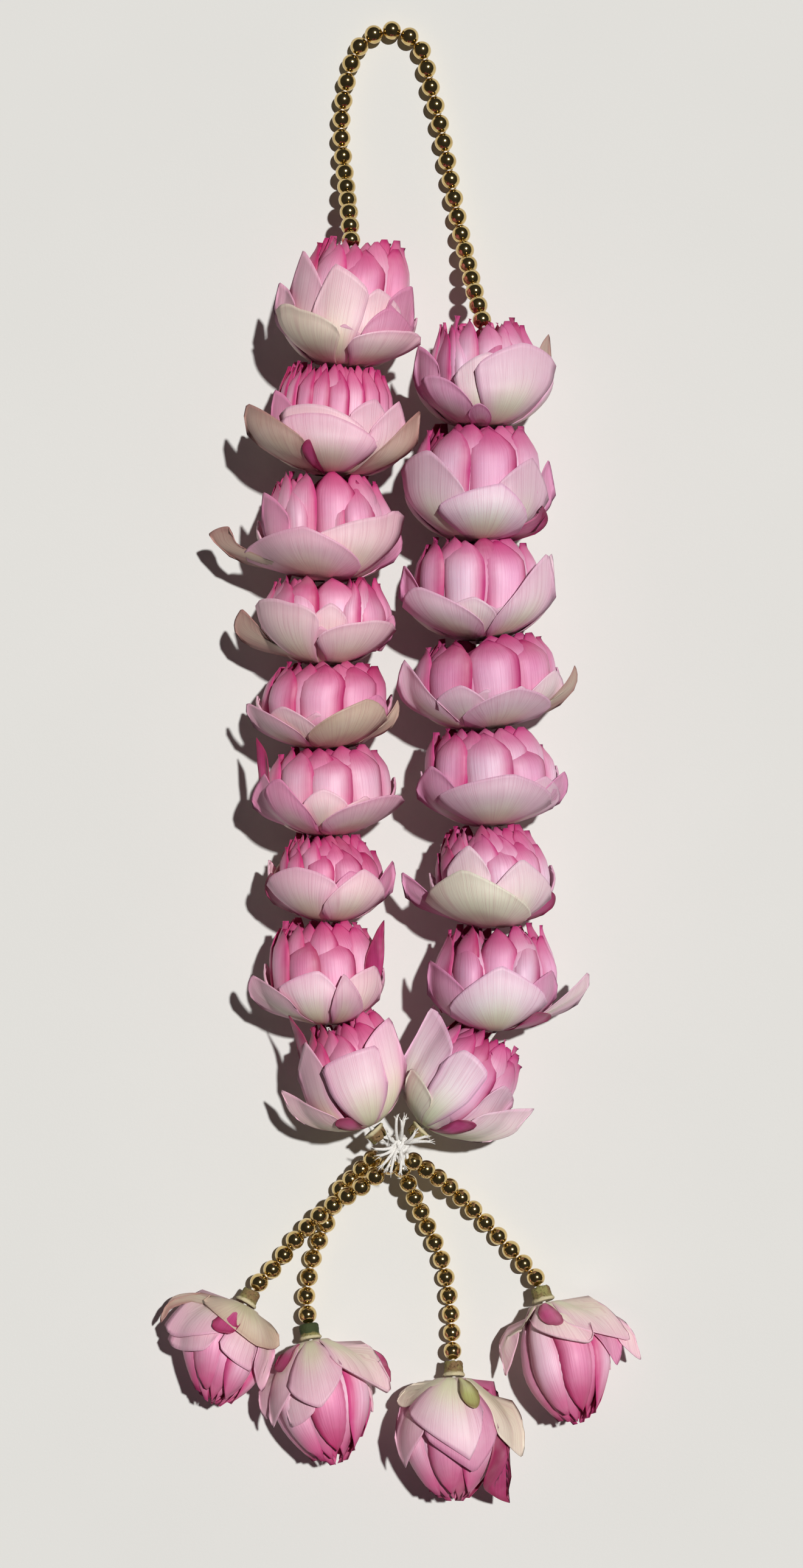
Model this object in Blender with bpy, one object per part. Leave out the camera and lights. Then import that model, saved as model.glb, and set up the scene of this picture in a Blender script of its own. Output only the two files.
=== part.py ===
"""Lotus garland lying flat: two strands of lotus blooms, a bead loop above and four bead tassels below.

+Y points from the tassels to the bead loop, +X to the right strand and +Z up from the surface that it
lies on. Lengths in this script are millimetres until a mesh is made.
"""

import math
from dataclasses import dataclass

import bmesh
import bpy
from mathutils import Matrix, Vector
from mathutils.bvhtree import BVHTree

MM = 0.001

# Driving dimensions
BEAD_DIAMETER = 8.0
BEAD_SHOULDER = 0.45
BEAD_FATNESS = 0.98
ROUTE_STEPS = 8
THREAD_RADIUS = 0.8
BORE_RADIUS = 1.4
BORE_SIDES = 6
BORE_OVERRUN = 2.0
SEAT_GAP = 0.4
SEAT_RADIUS = 8.0
KNOT_GAP = 0.7
PETAL_THICKNESS = 1.0
PETAL_CROWN = 0.7
PETAL_SHOULDER = 0.66
PETAL_TIP = 0.9
PETAL_COLUMNS = 2
PETAL_ROWS = 3
ROOT_THICKENING = 2.6
ROOT_HEIGHT = 2.0
ROOT_SINK = 3.0
LAYER_STEP = 1.3
LAYER_RISE = 3.0
LEAST_SPREAD = math.radians(14)
SIDE_ANGLE = math.radians(74)
BOWL_DEPTH = 21.0
BOWL_HALF_HEIGHT = 30.4
BOWL_WIDEST = 0.5
BASE_RADIUS = 4.5
STUB_RADIUS = 4.2
STUB_LENGTH = 5.5
STUB_TAPER = 0.88
STUB_SIDES = 10
KNOT_RADIUS = 4.5
COTTON_RADIUS = 0.55
COTTON_RISE = 9.0
COTTON_SIDES = 4
TASSEL_THREAD_DEPTH = 10.0

# The side of a bloom that lies down: the angle in degrees and layer of each petal, and their shape
BACK_PETALS = ((130, 1), (230, 2))
BACK_SPREAD = math.radians(46)
BACK_RISE = 4.0
BACK_TAPER = 0.8
BACK_TAPER_START = 0.6
BACK_TAPER_POWER = 1.4

# A closed bloom: the part of a sine arch that its side follows, and how full it is
CLOSED_START = 0.05
CLOSED_SPAN = 0.8
CLOSED_FULLNESS = 0.7
CLOSED_LEAST = 0.2
CLOSED_BUD = 0.9
CLOSED_REACH = 0.7

# A bud: its petals, its narrowing towards the top, and its foot inside the outer petals
BUD_PETALS = 8
BUD_WIDEST = 0.9
BUD_NARROWING = 0.32
BUD_NARROWING_START = 0.45
BUD_NARROWING_POWER = 1.5
BUD_START = 0.3
BUD_NECK = 0.42
BUD_FOOT = 0.28
BUD_FOOT_FILL = 0.98
BUD_FOOT_GROOVE = 0.9
BUD_FOOT_GAP = 0.5
BUD_TOP = 0.55
# Each ring above its foot: share of its height, then drop and radius share of the ridge and the groove
BUD_RINGS = (
    (0.6, 0.0, 1.0, 0.0, 0.85),
    (1.0, 2.0, 1.0, 8.0, 0.9),
    (1.0, 6.0, 0.76, 9.0, 0.76),
    (1.0, 5.0, 0.62, 0.5, 0.66),
)

# Thinning of a finished bloom
LEAST_SHARE = 0.46
SHARE_STEP = 0.02
SHARE_STEPS = 24
FLOOR_SIZE = 200.0

# Points where the blooms of a strand sit on each other, from the bead loop down to the knot
LEFT_LINE = (
    (-21.0, 220.5, 31.0),
    (-24.5, 171.5, 29.0),
    (-29.0, 127.0, 28.0),
    (-31.0, 83.5, 28.0),
    (-31.5, 48.5, 28.0),
    (-31.0, 13.5, 28.0),
    (-29.0, -22.0, 28.0),
    (-30.5, -57.5, 28.0),
    (-31.0, -100.0, 28.0),
    (-13.0, -142.0, 28.0),
)
RIGHT_LINE = (
    (33.4, 187.6, 31.0),
    (33.0, 146.5, 29.0),
    (31.5, 99.5, 28.0),
    (31.5, 59.0, 28.0),
    (35.5, 22.0, 28.0),
    (36.5, -18.0, 28.0),
    (38.0, -60.0, 28.0),
    (39.0, -102.5, 28.0),
    (9.5, -142.0, 28.0),
)
KNOT_CENTRE = (-1.0, -149.5, 28.0)

# Routes of the bead strings, from their first bead to their last
LOOP_ROUTE = (
    (-20.9, 225.0, 31.0),
    (-21.8, 237.0, 23.0),
    (-23.2, 251.0, 12.0),
    (-24.6, 263.6, 5.5),
    (-25.5, 277.8, 4.1),
    (-23.9, 292.7, 4.1),
    (-20.1, 307.6, 4.1),
    (-14.7, 314.6, 4.1),
    (-6.9, 318.4, 4.1),
    (1.8, 316.6, 4.1),
    (8.5, 310.2, 4.1),
    (12.6, 293.5, 4.1),
    (16.5, 277.8, 4.1),
    (21.1, 253.6, 4.1),
    (23.9, 238.4, 4.5),
    (26.7, 224.6, 9.0),
    (29.3, 210.8, 18.0),
    (31.6, 200.0, 26.0),
    (33.3, 192.0, 31.0),
)
TASSEL_ROUTES = (
    (
        (-5.1, -158.5, 26.0),
        (-16.8, -168.0, 20.5),
        (-27.3, -175.6, 14.5),
        (-32.9, -179.8, 12.2),
        (-38.5, -185.5, 9.0),
        (-44.1, -191.2, 6.5),
        (-53.0, -203.2, 4.5),
        (-60.0, -210.0, 7.8),
    ),
    (
        (-12.2, -156.7, 18.5),
        (-21.0, -166.2, 9.5),
        (-25.7, -171.1, 5.0),
        (-31.6, -185.2, 4.0),
        (-37.3, -199.8, 4.0),
        (-40.2, -215.8, 5.5),
        (-39.6, -223.5, 8.0),
    ),
    (
        (0.3, -160.8, 19.0),
        (5.9, -174.7, 11.5),
        (11.6, -188.0, 5.0),
        (17.0, -201.1, 4.0),
        (20.1, -216.6, 4.0),
        (21.2, -231.5, 5.5),
        (21.5, -238.8, 8.0),
    ),
    (
        (5.0, -156.9, 25.0),
        (13.0, -162.8, 18.5),
        (22.5, -171.5, 10.0),
        (32.9, -182.2, 5.0),
        (43.2, -193.4, 4.0),
        (51.5, -202.3, 5.5),
        (56.6, -207.8, 8.2),
    ),
)


@dataclass(frozen=True)
class Bloom:
    """One bloom: where it lies, how wide it is, and the outer petals that show.

    base and top are the ends of its axis. bowl and bud are the left and right edges of its outer and
    inner petals, measured from the base. Each outer petal has a left corner, a tip and a right corner,
    also measured from the base along +X and +Y of the garland. drop is how much lower the top ends, to
    clear a bloom above that leans. A closed bloom hangs below as a tassel.
    """

    name: str
    base: tuple
    top: tuple
    bowl: tuple
    bud: tuple
    bud_height: float
    petals: tuple
    drop: float = 0.0
    closed: bool = False


# Edges of the bowl, edges of the bud, height of the bud, and outer petals of each bloom, top one first.
# A petal has its left corner, its tip, its right corner and its layer, from 0, inside, to 3, outside.
LEFT_BLOOMS = (
    ((-27, 33), (-14.5, 30), 56, (
        ((-27, 26), (-14, 22.5), (0, 15), 3),
        ((-15, 24), (-4, 39.5), (12, 28), 1),
        ((9, 16), (19.5, 23.5), (31.5, 12.5), 2),
        ((-26, 34), (-17.5, 47.5), (-8, 30), 0),
        ((19, 26), (31, 33), (32, 18), 0),
    )),
    ((-34, 36), (-22, 26), 45, (
        ((-32, 14), (-33, 29), (-22, 18), 3),
        ((-27, 24), (-25, 35), (-16, 27), 0),
        ((-20, 29), (-1, 25), (18, 13), 2),
        ((5, 26), (20, 31), (27, 19), 1),
        ((22, 12), (36, 27), (31, 12), 3),
    )),
    ((-31, 33), (-26.5, 27), 44, (
        ((-40, 13), (-47, 20), (-38, 23), 3),
        ((-29, 26), (-28, 36.5), (-16, 26), 0),
        ((-30, 10), (-8, 21), (11, 6), 2),
        ((-6, 18), (25, 27), (32, 24), 1),
    )),
    ((-29, 29), (-27, 27), 36, (
        ((-28, 26), (-18, 27), (-2, 20), 2),
        ((-35, 12), (-36, 23), (-26, 14), 1),
        ((-3, 11.5), (14, 17), (28, 17), 3),
        ((22, 14), (29, 21), (29, 13), 1),
    )),
    ((-31, 29), (-24, 25.5), 36, (
        ((-30, 12), (-31, 20), (-12, 8), 2),
        ((-24, 12), (-17, 18), (-3, 9), 1),
        ((-7, 5), (15.5, 21), (23, 15), 3),
        ((19, 10), (28, 21), (28, 12), 1),
    )),
    ((-31, 29), (-26, 23), 37, (
        ((-33, 17), (-29, 26), (-22, 14), 1),
        ((-26, 20), (-19, 24), (-8, 14), 2),
        ((-12, 12), (-3, 20), (8, 13), 1),
        ((-4, 5), (13, 15), (27, 16), 3),
    )),
    ((-27, 29), (-21, 21), 36, (
        ((-25, 18), (-12, 23.5), (5, 17), 2),
        ((-2, 7), (14, 23), (23, 13), 3),
        ((17, 12), (27.5, 26), (28, 15), 1),
        ((-26, 10), (-24, 21), (-14, 12), 1),
    )),
    ((-28, 26), (-24, 20), 43, (
        ((14, 28), (27, 44), (25, 26), 0),
        ((-26, 10), (-29, 20), (-12, 11), 3),
        ((-20, 16), (-3, 24), (6, 15), 2),
        ((6, 17), (21, 25.5), (24, 13), 1),
    )),
    ((-33, 18), (-32, 12), 47, (
        ((-33, 32), (-36, 46), (-27, 34), 0),
        ((-3, 36), (8, 46), (14, 30), 1),
        ((-19, 27), (2, 35), (6, 22), 2),
        ((-28, 6), (-36, 16), (-20, 12), 3),
    )),
)
RIGHT_BLOOMS = (
    ((-29, 32), (-20.5, 23), 48, (
        ((23, 26), (30, 39), (31, 26), 0),
        ((-3, 25), (16, 33), (30, 26), 2),
        ((-23, 21), (-12, 18), (-2, 8), 3),
        ((-29, 24), (-27, 34), (-18, 25), 1),
    )),
    ((-32, 32), (-25.5, 26), 48, (
        ((-31, 32), (-20, 37), (-5, 20), 2),
        ((-17, 15), (8, 23), (18, 7), 3),
        ((7, 22), (23, 34), (30, 20), 1),
        ((27, 22), (31, 34), (32, 22), 0),
    )),
    ((-33, 33), (-25.5, 24), 42, (
        ((-33, 20), (-31, 31), (-24, 20), 1),
        ((-30, 16), (-23, 21.5), (3, 5), 3),
        ((-14, 10), (-2, 17), (8, 8), 1),
        ((4, 6), (27, 36), (30, 20), 2),
    )),
    ((-34, 33), (-30, 28), 38, (
        ((-36, 18), (-34, 29), (-21, 13), 2),
        ((-22, 11), (-11, 18), (1, 9), 1),
        ((-11, 4), (11, 17), (24, 8), 3),
        ((22, 12), (36, 27), (32, 13), 1),
    )),
    ((-30, 31), (-27, 25), 41, (
        ((-22, 13), (8, 22), (25, 12), 3),
        ((-29, 18), (-24, 25.5), (-12, 17), 1),
        ((20, 16), (30, 23), (29, 13), 1),
    )),
    ((-28, 28), (-26, 20), 42, (
        ((-26, 14), (-10, 24.5), (10, 6), 3),
        ((-3, 19), (11, 29.5), (24, 15), 2),
        ((-21, 24), (-11, 35), (-2, 25), 1),
        ((-30, 14), (-34, 24), (-22, 12), 2),
    )),
    ((-28, 27), (-25, 25), 43, (
        ((-19, 9), (1, 29), (20, 15), 3),
        ((-27, 21), (-27, 30), (-12, 18), 1),
        ((16, 8), (38, 24), (31, 12), 2),
    )),
    ((-9, 40), (-4, 36), 46, (
        ((-7, 33), (4, 47), (14, 34), 1),
        ((9, 29), (17, 33), (26, 28), 2),
        ((26, 10), (45, 8), (28, -2), 3),
        ((20, 24), (33, 24), (34, 12), 0),
    )),
)
TASSEL_ENDS = (
    ((-66.0, -219.0, 12.0), (-84.5, -255.5, 25.0)),
    ((-38.0, -234.0, 12.0), (-28.0, -280.5, 26.0)),
    ((22.0, -249.5, 12.0), (21.5, -296.0, 26.0)),
    ((60.0, -218.0, 12.0), (72.0, -265.5, 25.0)),
)
TASSEL_BLOOMS = (
    ((-22.3, 18.9), (-20, 20), 42, (
        ((3, -12), (13, -18), (12, -9), 3),
        ((-24, -2), (-43, -10), (-26, -20), 2),
        ((10, -22), (5, -36), (-8, -24), 1),
    )),
    ((-22.2, 24), (-20, 20), 51, (
        ((-14, -18), (-17, -31), (-6, -24), 2),
        ((-10, -20), (5.5, -31), (12, -16), 3),
        ((18, -12), (32, -24), (22, -24), 1),
        ((24, -8), (34, -12), (27, -12), 0),
    )),
    ((-24, 24), (-20, 20), 50, (
        ((-20, -16), (6, -41), (14, -22), 3),
        ((18, -20), (29, -33), (18, -30), 2),
        ((14, -36), (25, -52), (10, -44), 1),
    )),
    ((-21, 21), (-20, 20), 51, (
        ((-16, -12), (-17, -30), (-8, -20), 2),
        ((22, -10), (44.5, -24), (28, -20), 2),
        ((4, -14), (18, -26), (24, -14), 3),
    )),
)

# Cut ends of the cotton, from the middle of the knot
COTTON_ENDS = (
    (-1, 12),
    (2.5, 12),
    (-5, 6),
    (6.5, 5.5),
    (13, 2),
    (-10, -1),
    (-8, -4),
    (-7, -8),
    (-3.5, -10.5),
    (0.5, -11),
)


def material(name, colour, roughness, metallic=0.0):
    """A plain surface finish."""
    made = bpy.data.materials.new(name)
    made.use_nodes = True
    shader = made.node_tree.nodes["Principled BSDF"]
    shader.inputs["Base Color"].default_value = (*colour, 1.0)
    shader.inputs["Roughness"].default_value = roughness
    shader.inputs["Metallic"].default_value = metallic
    return made


def add_object(name, mesh, finish=None):
    """Put a mesh in the scene under a name."""
    made = bpy.data.objects.new(name, mesh)
    bpy.context.scene.collection.objects.link(made)
    if finish is not None:
        mesh.materials.append(finish)
    return made


def object_from(bm, name, finish=None):
    """Close a bmesh in millimetres into an object in metres."""
    bmesh.ops.scale(bm, vec=Vector((MM, MM, MM)), verts=bm.verts)
    mesh = bpy.data.meshes.new(name)
    bm.to_mesh(mesh)
    bm.free()
    return add_object(name, mesh, finish)


def combine(body, tools, operation):
    """Join the tools to the body, or cut them out of it, in one Boolean, and remove them."""
    group = bpy.data.collections.new("tools")
    bpy.context.scene.collection.children.link(group)
    for tool in tools:
        group.objects.link(tool)
    step = body.modifiers.new("combine", "BOOLEAN")
    step.operation = operation
    step.operand_type = "COLLECTION"
    step.collection = group
    step.solver = "MANIFOLD"
    evaluated = body.evaluated_get(bpy.context.evaluated_depsgraph_get())
    mesh = bpy.data.meshes.new_from_object(evaluated)
    body.modifiers.clear()
    body.data = mesh
    for tool in tools:
        bpy.data.objects.remove(tool)
    bpy.data.collections.remove(group)


def is_sound(mesh):
    """Whether each edge of a mesh has two faces and none of its faces cross."""
    bm = bmesh.new()
    bm.from_mesh(mesh)
    bmesh.ops.triangulate(bm, faces=bm.faces)
    sound = all(len(edge.link_faces) == 2 for edge in bm.edges)
    bm.faces.ensure_lookup_table()
    tree = BVHTree.FromBMesh(bm)
    for first, second in tree.overlap(tree):
        apart = not set(bm.faces[first].verts) & set(bm.faces[second].verts)
        if first < second and apart:
            sound = False
    bm.free()
    return sound


def thin_out(body):
    """Merge the small triangles along the seams between petals as far as the solid stays sound."""
    for number in range(SHARE_STEPS):
        step = body.modifiers.new("thin", "DECIMATE")
        step.ratio = LEAST_SHARE + number * SHARE_STEP
        evaluated = body.evaluated_get(bpy.context.evaluated_depsgraph_get())
        mesh = bpy.data.meshes.new_from_object(evaluated)
        body.modifiers.clear()
        if is_sound(mesh):
            body.data = mesh
            return
    print("left as it is:", body.name)


def rod(name, start, end, radius, end_radius=None, sides=BORE_SIDES, finish=None):
    """A straight prism between two points, tapered where its end radius is given."""
    start, end = Vector(start), Vector(end)
    taper = radius if end_radius is None else end_radius
    bm = bmesh.new()
    bmesh.ops.create_cone(
        bm, cap_ends=True, segments=sides, radius1=radius, radius2=taper, depth=(end - start).length
    )
    turn = (end - start).to_track_quat("Z", "Y").to_matrix().to_4x4()
    place = Matrix.Translation((start + end) / 2) @ turn
    bmesh.ops.transform(bm, matrix=place, verts=bm.verts)
    return object_from(bm, name, finish)


def tube(name, points, radii, finish):
    """A round tube along points, with a radius at each, made as a bevelled curve with closed ends."""
    curve = bpy.data.curves.new(name, "CURVE")
    curve.dimensions = "3D"
    curve.bevel_depth = MM
    curve.bevel_resolution = 2
    curve.use_fill_caps = True
    spline = curve.splines.new("POLY")
    spline.points.add(len(points) - 1)
    for target, point, radius in zip(spline.points, points, radii):
        target.co = (*(Vector(point) * MM), 1.0)
        target.radius = radius
    return add_object(name, curve, finish)


class BloomFrame:
    """The axis of a bloom and the surfaces of revolution that its petals follow."""

    def __init__(self, bloom):
        self.bloom = bloom
        self.base = Vector(bloom.base)
        span = Vector(bloom.top) - self.base
        self.length = span.length
        self.along = span.normalized()
        self.side = self.along.cross(Vector((0, 0, 1))).normalized()
        self.up = self.side.cross(self.along)
        edges = [self._local((x, BOWL_WIDEST * span.y)) for x in bloom.bowl]
        self.bowl_edges = sorted(edge[0] for edge in edges)
        edges = [self._local((x, BUD_WIDEST * span.y)) for x in bloom.bud]
        self.bud_edges = sorted(edge[0] for edge in edges)
        self.bowl_half = (self.bowl_edges[1] - self.bowl_edges[0]) / 2
        self.bud_half = (self.bud_edges[1] - self.bud_edges[0]) / 2
        self.squash = min(1.0, BOWL_HALF_HEIGHT / self.bowl_half)

    def _local(self, offset):
        """Distance across and along the axis of a point given from the base, in the picture plane."""
        flat = Vector((offset[0], offset[1], 0.0))
        return flat.dot(self.side), flat.dot(self.along)

    def centre(self, height):
        """How far the middle of the bloom is from its axis at a height."""
        bowl = sum(self.bowl_edges) / 2
        bud = sum(self.bud_edges) / 2
        if height < BOWL_DEPTH:
            return bowl * max(0.0, height) / BOWL_DEPTH
        share = min(1.0, (height - BOWL_DEPTH) / (self.bloom.bud_height - BOWL_DEPTH))
        return bowl + (bud - bowl) * share

    def bowl_radius(self, height):
        """Half width of the outer petals at a height above the base."""
        if self.bloom.closed:
            share = CLOSED_START + CLOSED_SPAN * max(0.0, height) / self.bloom.bud_height
            arch = math.sin(math.pi * min(1.0, share))
            return self.bowl_half * max(CLOSED_LEAST, arch) ** CLOSED_FULLNESS
        drop = 1.0 - min(1.0, max(0.0, height) / BOWL_DEPTH)
        return max(BASE_RADIUS, self.bowl_half * math.sqrt(1.0 - drop * drop))

    def bud_radius(self, height):
        """Half width of the bud at a height above the base."""
        if self.bloom.closed:
            return CLOSED_BUD * self.bowl_radius(height)
        share = max(0.0, height) / self.bloom.bud_height
        rise = max(0.0, share - BUD_NARROWING_START) / (1.0 - BUD_NARROWING_START)
        return self.bud_half * (1.0 - BUD_NARROWING * rise**BUD_NARROWING_POWER)

    def point(self, angle, height, radius):
        """A point of the garland from its angle round the axis, its height and its radius."""
        across = self.centre(height) + radius * math.sin(angle)
        raised = radius * math.cos(angle) * self.squash
        return self.base + self.along * height + self.side * across + self.up * raised

    def chart(self, offset):
        """Angle, height and flare of a point seen from above, given from the base."""
        across, height = self._local(offset)
        share = (across - self.centre(height)) / self.bowl_radius(height)
        if abs(share) < math.sin(SIDE_ANGLE):
            return math.asin(share), height, 1.0
        return math.copysign(SIDE_ANGLE, share), height, abs(share) / math.sin(SIDE_ANGLE)


def petal(place):
    """A closed blade from place(u, v, depth), with u across it, v up to its tip and depth into the bloom.

    It is thick at its root, which is sunk in the bloom, and thin at its tip.
    """
    bm = bmesh.new()
    bmesh.ops.create_grid(bm, x_segments=PETAL_COLUMNS, y_segments=PETAL_ROWS, size=1.0)
    spots = {vert: (vert.co.x, (vert.co.y + 1.0) / 2) for vert in bm.verts}
    copied = bmesh.ops.extrude_face_region(bm, geom=bm.faces[:], use_keep_orig=True)
    inner = [vert for vert in copied["geom"] if isinstance(vert, bmesh.types.BMVert)]
    for vert in inner:
        u, v = vert.co.x, (vert.co.y + 1.0) / 2
        vert.co = place(u, v, PETAL_THICKNESS + ROOT_THICKENING * (1.0 - v))
    for vert, (u, v) in spots.items():
        vert.co = place(u, v, 0.0)
    bmesh.ops.triangulate(bm, faces=bm.faces)
    bmesh.ops.recalc_face_normals(bm, faces=bm.faces)
    return object_from(bm, "petal")


def mix(start, end, share):
    """A value between two lists of values."""
    return [a + (b - a) * share for a, b in zip(start, end)]


def edge_point(corner, tip, v):
    """Angle, height and flare on a petal's edge, which runs up to its corner and then to its tip."""
    angle, height, flare = corner
    if v <= PETAL_SHOULDER:
        rise = v / PETAL_SHOULDER
        return [angle, ROOT_HEIGHT + (height - ROOT_HEIGHT) * rise, 1.0 + (flare - 1.0) * rise]
    share = PETAL_TIP * (v - PETAL_SHOULDER) / (1.0 - PETAL_SHOULDER)
    return mix(corner, tip, share)


def outer_petal(frame, row):
    """An outer petal that shows, from its two corners, its tip and its layer."""
    left, tip, right = (frame.chart(corner) for corner in row[:3])
    offset = LAYER_STEP * (row[3] - 2)
    if left[0] > right[0]:
        left, right = right, left
    middle = (left[0] + right[0]) / 2
    half = max(LEAST_SPREAD, (right[0] - left[0]) / 2)
    left, right = (middle - half, *left[1:]), (middle + half, *right[1:])

    def place(u, v, depth):
        low, high = edge_point(left, tip, v), edge_point(right, tip, v)
        angle, height, flare = mix(low, high, (u + 1.0) / 2)
        crown = (1.0 - u * u) * PETAL_CROWN * math.sin(math.pi * v)
        sunk = ROOT_SINK * (1.0 - v) ** 3
        radius = frame.bowl_radius(height) * flare + offset * min(1.0, LAYER_RISE * v)
        radius += crown - sunk
        return frame.point(angle, height, max(radius - depth, 0.5 * radius))

    return petal(place)


def back_petal(frame, angle, reach, layer):
    """An outer petal of the side that lies down, a plain pointed oval."""
    offset = LAYER_STEP * (layer - 2)

    def place(u, v, depth):
        taper = max(0.0, v - BACK_TAPER_START) / (1.0 - BACK_TAPER_START)
        width = BACK_SPREAD * (1.0 - BACK_TAPER * taper**BACK_TAPER_POWER)
        height = ROOT_HEIGHT + (reach - ROOT_HEIGHT) * v
        sunk = ROOT_SINK * (1.0 - v) ** 3
        radius = frame.bowl_radius(height) + offset * v - sunk
        return frame.point(angle + u * width, height, max(radius - depth, 0.5 * radius))

    return petal(place)


def bud(frame, name, finish):
    """The bud: two rings of ridged petals with pointed tips round the dense middle of the bloom."""
    bloom = frame.bloom
    seat = frame.length - SEAT_GAP - bloom.drop
    rim = bloom.bud_height - bloom.drop
    low = BUD_FOOT * rim
    outer = frame.bowl_radius(low) - abs(frame.centre(low))
    inside = outer - 2 * LAYER_STEP - PETAL_THICKNESS - BUD_FOOT_GAP
    foot = min(BUD_FOOT_FILL * frame.bud_radius(low), inside)
    neck = BUD_NECK * frame.bowl_half
    # Height and radius of a petal's ridge, then of the groove beside it, ring by ring up the bud
    rings = [
        ((BUD_START, BASE_RADIUS), (BUD_START, BASE_RADIUS)),
        ((ROOT_HEIGHT + 1, neck), (ROOT_HEIGHT + 1, neck)),
        ((low, foot), (low, BUD_FOOT_GROOVE * foot)),
    ]
    for share, ridge_drop, ridge, groove_drop, groove in BUD_RINGS:
        height, radius = share * rim, frame.bud_radius(share * rim)
        rings.append(((height - ridge_drop, ridge * radius), (height - groove_drop, groove * radius)))
    top = BUD_TOP * frame.bud_radius(rim)
    rings.append(((seat, top), (seat, top)))
    count = 2 * BUD_PETALS
    bm = bmesh.new()
    bmesh.ops.create_cone(bm, cap_ends=True, segments=count, radius1=1.0, radius2=1.0, depth=1.0)
    sides = [edge for edge in bm.edges if abs(edge.verts[0].co.z - edge.verts[1].co.z) > 0.5]
    bmesh.ops.subdivide_edges(bm, edges=sides, cuts=len(rings) - 2, use_grid_fill=True)
    for vert in bm.verts:
        ring = rings[round((vert.co.z + 0.5) * (len(rings) - 1))]
        column = round(math.atan2(vert.co.x, vert.co.y) * count / (2 * math.pi))
        height, radius = ring[column % 2]
        vert.co = frame.point(column * 2 * math.pi / count, height, radius)
    bmesh.ops.triangulate(bm, faces=bm.faces)
    bmesh.ops.recalc_face_normals(bm, faces=bm.faces)
    return object_from(bm, name, finish)


def build_bloom(bloom, finish):
    """A whole bloom: bud, outer petals, thread bore and flat underside."""
    frame = BloomFrame(bloom)
    body = bud(frame, bloom.name, finish)
    parts = []
    for row in bloom.petals:
        parts.append(outer_petal(frame, row))
    reach = CLOSED_REACH * bloom.bud_height if bloom.closed else BOWL_DEPTH + BACK_RISE
    for degrees, layer in BACK_PETALS:
        parts.append(back_petal(frame, math.radians(degrees), reach, layer))
    combine(body, parts, "UNION")
    thin_out(body)
    start = frame.base - frame.along * BORE_OVERRUN
    end = frame.base + frame.along * (frame.length + BORE_OVERRUN)
    bm = bmesh.new()
    bmesh.ops.create_cube(bm, size=FLOOR_SIZE)
    bmesh.ops.translate(bm, vec=(bloom.base[0], bloom.base[1], -FLOOR_SIZE / 2), verts=bm.verts)
    bore = rod("bore", start, end, BORE_RADIUS)
    combine(body, [bore, object_from(bm, "floor")], "DIFFERENCE")
    return body


def smooth_route(route):
    """Closely spaced points on a smooth curve through a route's points."""
    points = [Vector(point) for point in route]
    points = [2 * points[0] - points[1], *points, 2 * points[-1] - points[-2]]
    made = []
    for before, start, end, after in zip(points, points[1:], points[2:], points[3:]):
        for step in range(ROUTE_STEPS):
            t = step / ROUTE_STEPS
            bend = (end - before) * t + (2 * before - 5 * start + 4 * end - after) * t**2
            bend += (3 * start - before - 3 * end + after) * t**3
            made.append(start + bend / 2)
    return made + [points[-2]]


def along_route(points, distance):
    """The point at a distance along a list of points, which runs on straight past its ends."""
    if distance < 0:
        return points[0] + (points[0] - points[1]).normalized() * -distance
    for start, end in zip(points, points[1:]):
        step = (end - start).length
        if distance <= step:
            return start.lerp(end, distance / step)
        distance -= step
    return points[-1] + (points[-1] - points[-2]).normalized() * distance


def bead_string(name, route, finish, lead=(), tail=()):
    """Beads in touch on their thread along a route, which has their centres from first to last."""
    points = smooth_route(route)
    length = sum((end - start).length for start, end in zip(points, points[1:]))
    count = round(length / BEAD_DIAMETER) + 1
    pitch = length / (count - 1)
    stations, radii = [-pitch / 2], [THREAD_RADIUS]
    for number in range(count):
        for share in (-BEAD_SHOULDER, BEAD_SHOULDER):
            stations.append(number * pitch + share * pitch / 2)
            radii.append(BEAD_FATNESS * pitch / 2)
        stations.append((number + 0.5) * pitch)
        radii.append(THREAD_RADIUS)
    rings = [along_route(points, station) for station in stations]
    rings = [*lead, *rings, *tail]
    radii = [THREAD_RADIUS] * len(lead) + radii + [THREAD_RADIUS] * len(tail)
    return tube(name, rings, radii, finish)


def towards(start, end, distance):
    """The point at a distance from one point towards another."""
    start, end = Vector(start), Vector(end)
    return start + (end - start).normalized() * distance


def stub_ends(bloom, target):
    """Both ends of a bloom's cut stem, which turns half way from the bloom's axis to its thread."""
    base = Vector(bloom.base)
    back = (base - Vector(bloom.top)).normalized()
    ahead = (Vector(target) - base).normalized()
    heading = (back + ahead).normalized()
    start = SEAT_GAP + STUB_RADIUS * math.tan(heading.angle(back))
    return base + heading * start, base + heading * (start + STUB_LENGTH)


def stub(name, ends, finish):
    """A short cut stem with a hole for the thread."""
    start, end = ends
    body = rod(name, start, end, STUB_RADIUS, STUB_RADIUS * STUB_TAPER, STUB_SIDES, finish)
    heading = (end - start).normalized()
    combine(body, [rod("bore", start - heading, end + heading, BORE_RADIUS)], "DIFFERENCE")
    return body


def knot(finish):
    """The cotton knot with its cut ends spread above it."""
    centre = Vector(KNOT_CENTRE)
    bm = bmesh.new()
    bmesh.ops.create_icosphere(bm, subdivisions=2, radius=KNOT_RADIUS)
    bmesh.ops.translate(bm, vec=centre, verts=bm.verts)
    body = object_from(bm, "knot", finish)
    ends = []
    for x, y in COTTON_ENDS:
        tip = centre + Vector((x, y, COTTON_RISE))
        ends.append(rod("end", centre, tip, COTTON_RADIUS, sides=COTTON_SIDES))
    combine(body, ends, "UNION")
    return body


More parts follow.
